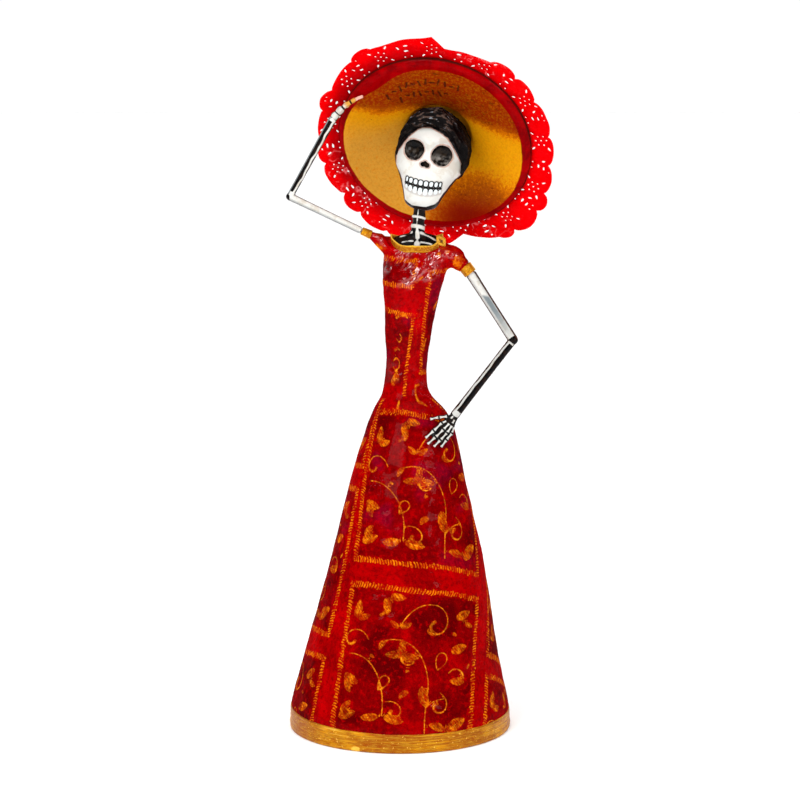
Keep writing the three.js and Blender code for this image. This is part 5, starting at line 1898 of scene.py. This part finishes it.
def drop_outline(x, y, turn, length, width):
    """A punched hole: a drop, or a round dot where its length is its width."""
    long = length > width
    angle = turns(9 if long else 8)
    along = np.cos(angle) * length / 2
    aside = np.sin(angle) * width / 2 * (1.25 * (0.75 - along / length / 2) if long else 1)
    return columns(
        x + along * math.cos(turn) - aside * math.sin(turn),
        y + along * math.sin(turn) + aside * math.cos(turn),
    )


class CATRINA_OT_lace(Operator):
    """Builds the punched lace ruffle that is glued round the brim"""

    bl_idname = "catrina.lace"
    bl_label = "Lace"

    def execute(self, context):
        sizes = context.scene.catrina_sizes
        edge_angle, edge_reach = lace_edge(300)
        edge_reach = edge_reach - 0.15
        holes = self.holes(sizes.lace_motifs, edge_angle, edge_reach)
        flat, faces = self.cut_out(edge_angle, edge_reach, holes)
        radius = np.hypot(flat[:, 0], flat[:, 1])
        angle = np.arctan2(flat[:, 1], flat[:, 0])
        depth = self.fall(radius, angle, sizes.lace_ruffle / MM)
        front = in_hat(radius, angle, depth)
        lace = new_object("lace_ruffle", front, faces)
        self.thicken(lace, sizes.lace_sheet)
        radius, angle, _ = hat_measures(places_of(lace))
        # Painted shade: the lace darkens toward the brim, most toward the upper left
        left = 0.5 - 0.5 * np.cos(angle - math.radians(-25))
        keep(lace, "tone", np.clip(fade(radius, 68, 58) * (0.1 + 0.9 * left), 0, 1))
        shine = np.zeros(len(radius))
        for middle, spread in LACE_SHINE:
            shine += bell((np.degrees(angle) - middle + 180) % 360, 180, spread)
        out = normals_of(lace)
        # Where the painted crease highlights lie: the glossy patches on the lace's front
        keep(lace, "creased", shine * 0.7 * fade(-out[:, 1], 0, 0.3))
        keep(lace, "shine", shine * fade(-out[:, 1], 0, 0.3) * fade(out[:, 2], -0.1, 0.15))
        finish_piece(lace, "hat_lace", lace_paint(context.scene.catrina_colours))
        return {"FINISHED"}

    def holes(self, motifs, edge_angle, edge_reach):
        """Outlines of the punched holes: flowers of dots with drops between and outside them."""
        outlines = []

        def punch(start, along, out, lean, length, width):
            angle = start + along / LACE_FLOWERS
            radius = LACE_FLOWERS + out
            if LACE_GLUED + 1.1 < radius < np.interp(angle, edge_angle, edge_reach, period=math.tau) - 1.6:
                x = radius * math.cos(angle)
                y = radius * math.sin(angle)
                outlines.append(drop_outline(x, y, angle + lean, length, width))

        for k in range(motifs):
            angle = (k + 0.2 + 0.2 * noise.noise(Vector((k * 1.3, 0, 0)))) / motifs * math.tau
            spin = 0.3 * noise.noise(Vector((k * 0.9, 5, 0)))
            for petal in range(6):
                way = petal / 6 * math.tau + spin
                punch(angle, LACE_PETAL * math.sin(way), LACE_PETAL * math.cos(way), 0, LACE_DOT, LACE_DOT)
            for hole in LACE_BESIDE:
                punch(angle, *hole)
            for hole in LACE_BETWEEN:
                punch(angle + math.pi / motifs, *hole)
        return outlines

    def cut_out(self, edge_angle, edge_reach, holes):
        """Fills the flat ring with triangles of even size, leaving the holes open."""
        points = []
        edges = []

        def add_outline(outline):
            start = len(points)
            points.extend(Vector((float(x), float(y))) for x, y in outline)
            size = len(outline)
            edges.extend((start + k, start + (k + 1) % size) for k in range(size))

        add_outline(columns(edge_reach * np.cos(edge_angle), edge_reach * np.sin(edge_angle)))
        add_outline(oval(150, 0, 0, 0, LACE_GLUED, LACE_GLUED)[:, :2])
        for outline in holes:
            add_outline(outline)
        hole_middles = np.array([np.mean(outline, axis=0) for outline in holes])
        for row, radius in enumerate(np.arange(LACE_GLUED + 1.2, LACE_OUTMOST, 1.25), 1):
            count = int(radius * math.tau / 1.35)
            for angle in turns(count) + row * 0.5 * math.tau / count:
                limit = np.interp(angle, edge_angle, edge_reach, period=math.tau)
                spot = np.array((radius * math.cos(angle), radius * math.sin(angle)))
                if radius > limit - 0.9 or np.min(np.linalg.norm(hole_middles - spot, axis=1)) < 1.5:
                    continue
                points.append(Vector(spot.tolist()))
        verts, _, faces, _, _, _ = geometry.delaunay_2d_cdt(points, edges, [], 0, 1e-4)
        flat = np.array([tuple(vert) for vert in verts])
        faces = np.array([tuple(face) for face in faces])
        middles = flat[faces].mean(axis=1)
        radius = np.linalg.norm(middles, axis=1)
        angle = np.arctan2(middles[:, 1], middles[:, 0])
        limit = np.interp(angle, edge_angle, edge_reach, period=math.tau)
        kept = (radius > LACE_GLUED - 0.02) & (radius < limit + 0.02)
        for outline, middle in zip(holes, hole_middles):
            near = kept & (np.linalg.norm(middles - middle, axis=1) < 2)
            for index in np.nonzero(near)[0]:
                if self.in_outline(middles[index], outline):
                    kept[index] = False
        faces = faces[kept]
        used = np.unique(faces)
        fresh = np.full(len(flat), -1)
        fresh[used] = np.arange(len(used))
        return flat[used], fresh[faces].tolist()

    def in_outline(self, spot, outline):
        """Whether a flat place lies inside an outline that bends one way."""
        sides = []
        for (x0, y0), (x1, y1) in zip(outline, np.roll(outline, -1, axis=0)):
            sides.append((x1 - x0) * (spot[1] - y0) - (y1 - y0) * (spot[0] - x0))
        return min(sides) > -1e-6 or max(sides) < 1e-6

    def fall(self, radius, angle, ruffle):
        """Depth of the lace: on the brim's top side up to the rim, then flaring and ruffled."""
        on_brim = np.interp(radius, *zip(*BRIM_OUTSIDE[::-1], BRIM_EDGE[-1])) + GAP + LACE_LIFT
        rim, rim_depth = BRIM_EDGE[-1]
        free = np.clip((radius - rim) / (LACE_FULL_FLARE - rim), 0, 1.1)
        around = columns(np.cos(angle) * 30, np.sin(angle) * 30, radius * 0.25)
        waves = np.sin(angle * LACE_WAVES)
        small = lumps(around, 6.5, 2, 12) * 1.7
        fine = lumps(around, 3, 1, 13) * 0.6
        flare = rim_depth + GAP + LACE_LIFT + (LACE_FLARE + waves) * free
        return np.where(radius < rim, on_brim, flare + ruffle * (small + fine) * free ** 0.7)

    def thicken(self, lace, sheet):
        """Gives the flat lace the thickness of its paper."""
        solid = lace.modifiers.new("Sheet", "SOLIDIFY")
        solid.thickness = sheet
        solid.offset = 0
        graph = bpy.context.evaluated_depsgraph_get()
        mesh = bpy.data.meshes.new_from_object(lace.evaluated_get(graph))
        lace.modifiers.clear()
        lace.data = mesh


def on_hip(along, across):
    """A place on the lowered hand, lying just off the gown."""
    wrist = Vector(ARMS["left"]["wrist"])
    spot = wrist + HIP_ALONG * along + HIP_ACROSS * across
    spot.y = min(wrist.y, gown_front(spot.x, spot.z) - HIP_LIFT)
    return np.array(spot)


def on_brim(along, across):
    """A place on the raised hand, whose fingers lie one behind the other as the viewer sees them."""
    first, last, length = BRIM_BEND
    start = math.radians(first)
    bend = math.radians(last - first) / length
    angle = start + bend * along
    step = Vector((
        (math.sin(angle) - math.sin(start)) / bend,
        -across,
        (math.cos(start) - math.cos(angle)) / bend,
    ))
    return np.array(Vector(ARMS["right"]["wrist"]) + step)


class CATRINA_OT_arms(Operator):
    """Builds both arms with their bony hands, white bones painted on black"""

    bl_idname = "catrina.arms"
    bl_label = "Arms"

    def execute(self, context):
        sizes = context.scene.catrina_sizes
        colours = context.scene.catrina_colours
        material = bone_paint(colours, "arm_paint")
        for side, hand in (("right", on_brim), ("left", on_hip)):
            forms = [*self.arm_forms(side), *self.hand_forms(hand)]
            if side == "right":
                forms.extend(ball(hand(along, 0), [radius] * 3, 16) for along, radius in WRIST_KNOBS)
            arm = remeshed(side + "_arm_bones", joined(forms), sizes.bone_grain / MM, 3)
            self.paint(arm, side)
            finish_piece(arm, side + "_arm", material)
        return {"FINISHED"}

    def arm_forms(self, side):
        """Two bones, the knob of the elbow, and a core that runs on into the cuff."""
        arm = ARMS[side]
        elbow = arm["elbow"]
        outer = CUFFS[side]["outer"]
        hidden = outer + (CUFFS[side]["inner"] - outer) * 0.9
        plug = CUFFS[side]["radii"][1] - CUFF_WALL - 2 * GAP
        mouth = outer + (elbow - outer) / np.linalg.norm(elbow - outer) * 2 * GAP
        upper = self.rod(mouth, elbow, arm["upper"], arm["depth"])
        lower = self.rod(elbow, arm["wrist"], arm["lower"], arm["depth"])
        core = limb([(*hidden, plug), (*outer, plug), (*(mouth + (elbow - mouth) * 0.05), plug)], 20)
        return [upper, lower, core, ball(elbow, [arm["lower"][0] * ELBOW_KNOB] * 3, 20)]

    def rod(self, start, end, radii, depth):
        """A bone that is slightly thinner in its middle."""
        stations = []
        for t in np.linspace(0, 1, 12):
            radius = (radii[0] + (radii[1] - radii[0]) * t) * (1 - 0.05 * math.sin(math.pi * t))
            stations.append((*(start + (end - start) * t), radius))
        return limb(stations, 28, depth)

    def hand_forms(self, place):
        """The palm, four fingers and the thumb of the hand whose places are given."""
        rings = []
        for along, across, wide, thick in smooth_path(PALM_RINGS, 4):
            middle = place(along, across)
            side = Vector(place(along, across + 1) - middle).normalized()
            ahead = Vector(place(along + 1, across) - middle).normalized()
            up = ahead.cross(side).normalized()
            half_wide = np.array(side) * wide
            half_thick = np.array(up) * thick
            angle = turns(24)[:, None]
            rings.append(middle + half_wide * np.cos(angle) + half_thick * np.sin(angle))
        forms = [lofted(rings)]
        for knuckle, tip in np.array((*FINGERS, THUMB)):
            stations = []
            for t in np.linspace(0, 1, 17):
                joint = abs(math.cos(2 * math.pi * t)) ** 3
                radius = FINGER_RADIUS * (1 - 0.26 * t) * (0.86 + 0.42 * joint)
                stations.append((*place(*(knuckle + (tip - knuckle) * t)), radius * (0.8 if t == 1 else 1)))
            forms.append(limb(stations, 16))
        return forms

    def paint(self, arm, side):
        """Stores the distances to the white bones, the brown lines and the shade."""
        places = places_of(arm)
        shape = ARMS[side]
        elbow = shape["elbow"]
        wrist = shape["wrist"]
        upper_t, upper_c, upper_away = self.along_rod(places, CUFFS[side]["outer"], elbow)
        lower_t, lower_c, lower_away = self.along_rod(places, elbow, wrist)
        on_lower = lower_away < upper_away
        radius = sum(shape["lower"]) / 2
        length = np.linalg.norm(wrist - elbow)
        from_elbow = lower_t * length
        from_wrist = (1 - lower_t) * length
        if side == "right":
            upper_bone = np.full(len(places), -1.0)
            upper_line = (0.84 - np.abs(upper_c)) * radius
            sway = 0.1 * np.sin(lower_t * 17) + 0.06 * np.sin(lower_t * 41)
            stripes = np.minimum(np.abs(lower_c + 0.8) - 0.13, np.abs(lower_c - 0.44 + sway) - 0.24) * radius
            heads = np.minimum(from_elbow - 3.4, from_wrist - 1.2)
            head_half = 0.8
            upper_shade = 0.8 * fade(upper_c, 0.1, -0.75)
            lower_shade = 0.9 * fade(lower_c, -0.4, -0.6)
        else:
            upper_bone = (np.abs(upper_c - 0.05) - 0.85) * radius
            upper_line = (np.abs(np.abs(upper_c - 0.05) - 0.88) - 0.09) * radius
            sway = 0.06 * np.sin(lower_t * 15 + 1) + 0.04 * np.sin(lower_t * 37)
            stripes = (np.abs(lower_c - 0.62 + sway) - 0.2) * radius
            heads = np.minimum(from_elbow - 3.2, from_wrist - 2.6)
            head_half = 0.82
            start = upper_t + 0.05 * upper_c
            patch = fade(start, 0.3, 0.36) * fade(upper_t, 1.2, 0.5) * fade(np.abs(upper_c + 0.1), 0.8, 0.4)
            upper_shade = np.maximum(patch, 0.08 + 0.4 * fade(np.abs(upper_c), 0.3, 0.8))
            lower_shade = 0.3
        heads = np.maximum(heads, (np.abs(lower_c) - head_half) * radius)
        bone = np.where(on_lower, np.minimum(stripes, heads), upper_bone)
        lower_line = (0.9 - np.abs(lower_c)) * radius if side == "left" else NO_LINE
        line = np.where(on_lower, lower_line, upper_line)
        shade = np.where(on_lower, lower_shade, upper_shade)
        joint = np.linalg.norm(places - elbow, axis=1)
        bone = np.where(joint < shape["lower"][0] * ELBOW_BLACK, np.maximum(bone, 0.6), bone)
        paint_hand = self.raised_hand if side == "right" else self.lowered_hand
        hand_bone, warm, on_hand = paint_hand(places, wrist)
        keep(arm, "bone", np.where(on_hand, hand_bone, bone))
        keep(arm, "line", np.where(on_hand, NO_LINE, line))
        keep(arm, "shade", np.where(on_hand, 0.1, shade))
        keep(arm, "warm", np.where(on_hand, warm, 0))

    def along_rod(self, places, start, end):
        """Share of the way along a rod, side of it as the viewer sees it, and distance from it."""
        run = end - start
        length = np.linalg.norm(run)
        t = (places - start) @ run / length ** 2
        near = start + np.clip(t, 0, 1)[:, None] * run
        away = places - near
        side = np.cross(run / length, np.array((0, -1, 0)))
        side /= np.linalg.norm(side)
        distance = np.linalg.norm(away, axis=1)
        return t, (away @ side) / np.maximum(distance, 0.01), distance

    def lowered_hand(self, places, wrist):
        """Distance to the bones of the lowered hand, its warmth, and which points belong to it."""
        flat = places - wrist
        along = flat @ np.array(HIP_ALONG)
        across = flat @ np.array(HIP_ACROSS)
        bones = list(HIP_BONES)
        for knuckle, tip in np.array((*FINGERS, THUMB)):
            if knuckle[0] > 5:
                bones.append(((5.2, knuckle[1] * 0.66 + 0.4), knuckle))
            half = (knuckle + tip) / 2
            bones.append((knuckle, half))
            bones.append((half, tip + (tip - half) * 0.12))
        spots = columns(along, across)
        gap = far(places)
        for start, end in np.array(bones):
            run = end - start
            reach = np.linalg.norm(run)
            run /= reach
            ahead = (spots - start) @ run
            aside = np.abs((spots - start) @ np.array((-run[1], run[0])))
            flare = 0.4 + 0.8 * np.abs(2 * ahead / reach - 1) ** 2.4
            gap = np.minimum(gap, np.maximum(aside - flare, np.abs(ahead - reach / 2) - reach / 2 + 0.5))
        return gap, 0, along > 0.2

    def raised_hand(self, places, wrist):
        """The same for the raised hand, whose line bends over the brim and whose painted gold reflection and
        highlight grow toward its tip.
        """
        grid = np.arange(-2, 24, 0.5)
        middle = np.array([on_brim(along, 0) for along in grid])
        reach = np.linalg.norm(places[:, None, [0, 2]] - middle[None][:, :, [0, 2]], axis=2)
        nearest = reach.argmin(axis=1)
        ahead = np.array([on_brim(along + 0.5, 0) - on_brim(along, 0) for along in grid])[nearest]
        ahead /= np.linalg.norm(ahead, axis=1)[:, None]
        away = places - middle[nearest]
        along = grid[nearest] + np.einsum("ij,ij->i", away, ahead)
        aside = away[:, 0] * ahead[:, 2] - away[:, 2] * ahead[:, 0]
        gap = far(places)
        for start, end in BRIM_BONES:
            half = (end - start) / 2
            gap = np.minimum(gap, rounded_box(along - (start + end) / 2, aside, half, 1.9, 0.8))
        return gap, (along - 8) / 12, (along > 0.3) & (places[:, 2] > wrist[2] - 4)


class CATRINA_OT_stage(Operator):
    """Sets the floor, the soft lights and the camera"""

    bl_idname = "catrina.stage"
    bl_label = "Floor, lights and camera"

    def execute(self, context):
        scene = context.scene
        self.floor(scene.catrina_colours)
        for name, lamp in LAMPS.items():
            self.lamp(name, *lamp)
        scene.world = self.air()
        scene.view_settings.view_transform = "Standard"
        scene.view_settings.look = "None"
        scene.view_settings.exposure = 0.0
        scene.view_settings.gamma = 1.0
        camera = bpy.data.cameras.new("camera")
        camera.lens = CAMERA_LENS
        camera.sensor_width = SENSOR_WIDTH
        camera.clip_end = 100
        stand = bpy.data.objects.new("camera", camera)
        stand.location = CAMERA_PLACE
        stand.rotation_euler = Euler((math.radians(90 - CAMERA_PITCH), 0, 0))
        scene.collection.objects.link(stand)
        scene.camera = stand
        return {"FINISHED"}

    def air(self):
        """Soft light from above and behind, darker round the camera."""
        world = bpy.data.worlds.new("studio_air")
        world.use_nodes = True
        recipe = Recipe(world.node_tree)
        _, back, up = recipe.split(recipe.out("ShaderNodeTexCoord", output="Generated"))
        light = up.ramp(0.76, 0.88) * 2.3 + back.ramp(0.4, 1.0) * 0.9 + 0.12
        seen = recipe.out("ShaderNodeLightPath", output="Is Camera Ray")
        background = world.node_tree.nodes["Background"].inputs
        recipe.feed(background["Strength"], recipe.calc("MAXIMUM", light, seen))
        recipe.feed(background["Color"], (1.0, 1.0, 1.0, 1.0))
        return world

    def floor(self, colours):
        half = FLOOR_HALF
        up = FLOOR_UP
        corners = [(-half, -half, up), (half, -half, up), (half, half, up), (-half, half, up)]
        floor = new_object("floor", corners, [(0, 1, 2, 3)])
        material, recipe, place = new_material("floor_paint")
        tone = place.grain(300, 2.0).ramp(0.2, 0.8)
        shade = tuple(part * 0.985 for part in colours.floor[:3]) + (1.0,)
        colour = recipe.mix(tone, shade, colours.floor)
        shader = recipe.out("ShaderNodeBsdfPrincipled", {
            "Base Color": colour, "Roughness": 0.9, "Emission Color": colour, "Emission Strength": 0.12})
        recipe.put("ShaderNodeOutputMaterial", {"Surface": shader})
        floor.data.materials.append(material)

    def lamp(self, name, place, size, power):
        light = bpy.data.lights.new(name, "AREA")
        light.shape = "SQUARE"
        light.size = size
        light.energy = power
        lamp = bpy.data.objects.new(name, light)
        lamp.location = place
        aim = Vector(LIT_PLACE) - Vector(place)
        lamp.rotation_euler = aim.to_track_quat("-Z", "Y").to_euler()
        bpy.context.scene.collection.objects.link(lamp)


class CATRINA_PT_pieces(Panel):
    """Lists the pieces of the catrina and the sizes and paints that they use"""

    bl_idname = "CATRINA_PT_pieces"
    bl_label = "Catrina"
    bl_space_type = "VIEW_3D"
    bl_region_type = "UI"
    bl_category = "Catrina"

    def draw(self, context):
        column = self.layout.column(align=True)
        for piece in PIECES:
            column.operator(piece.bl_idname)
        for group in (context.scene.catrina_sizes, context.scene.catrina_colours):
            box = self.layout.box()
            for name in group.bl_rna.properties.keys():
                if name not in ("rna_type", "name"):
                    box.prop(group, name)


PIECES = (
    CATRINA_OT_gown, CATRINA_OT_gold_strips, CATRINA_OT_neck, CATRINA_OT_hair, CATRINA_OT_skull,
    CATRINA_OT_hat, CATRINA_OT_lace, CATRINA_OT_arms, CATRINA_OT_stage,
)
CLASSES = (CatrinaSizes, CatrinaColours, *PIECES, CATRINA_PT_pieces)


def register():
    for item in CLASSES:
        bpy.utils.register_class(item)
    bpy.types.Scene.catrina_sizes = PointerProperty(type=CatrinaSizes)
    bpy.types.Scene.catrina_colours = PointerProperty(type=CatrinaColours)


def unregister():
    del bpy.types.Scene.catrina_sizes
    del bpy.types.Scene.catrina_colours
    for item in reversed(CLASSES):
        bpy.utils.unregister_class(item)


def main():
    register()
    for piece in PIECES:
        module, name = piece.bl_idname.split(".")
        getattr(getattr(bpy.ops, module), name)()


if __name__ == "__main__":
    main()
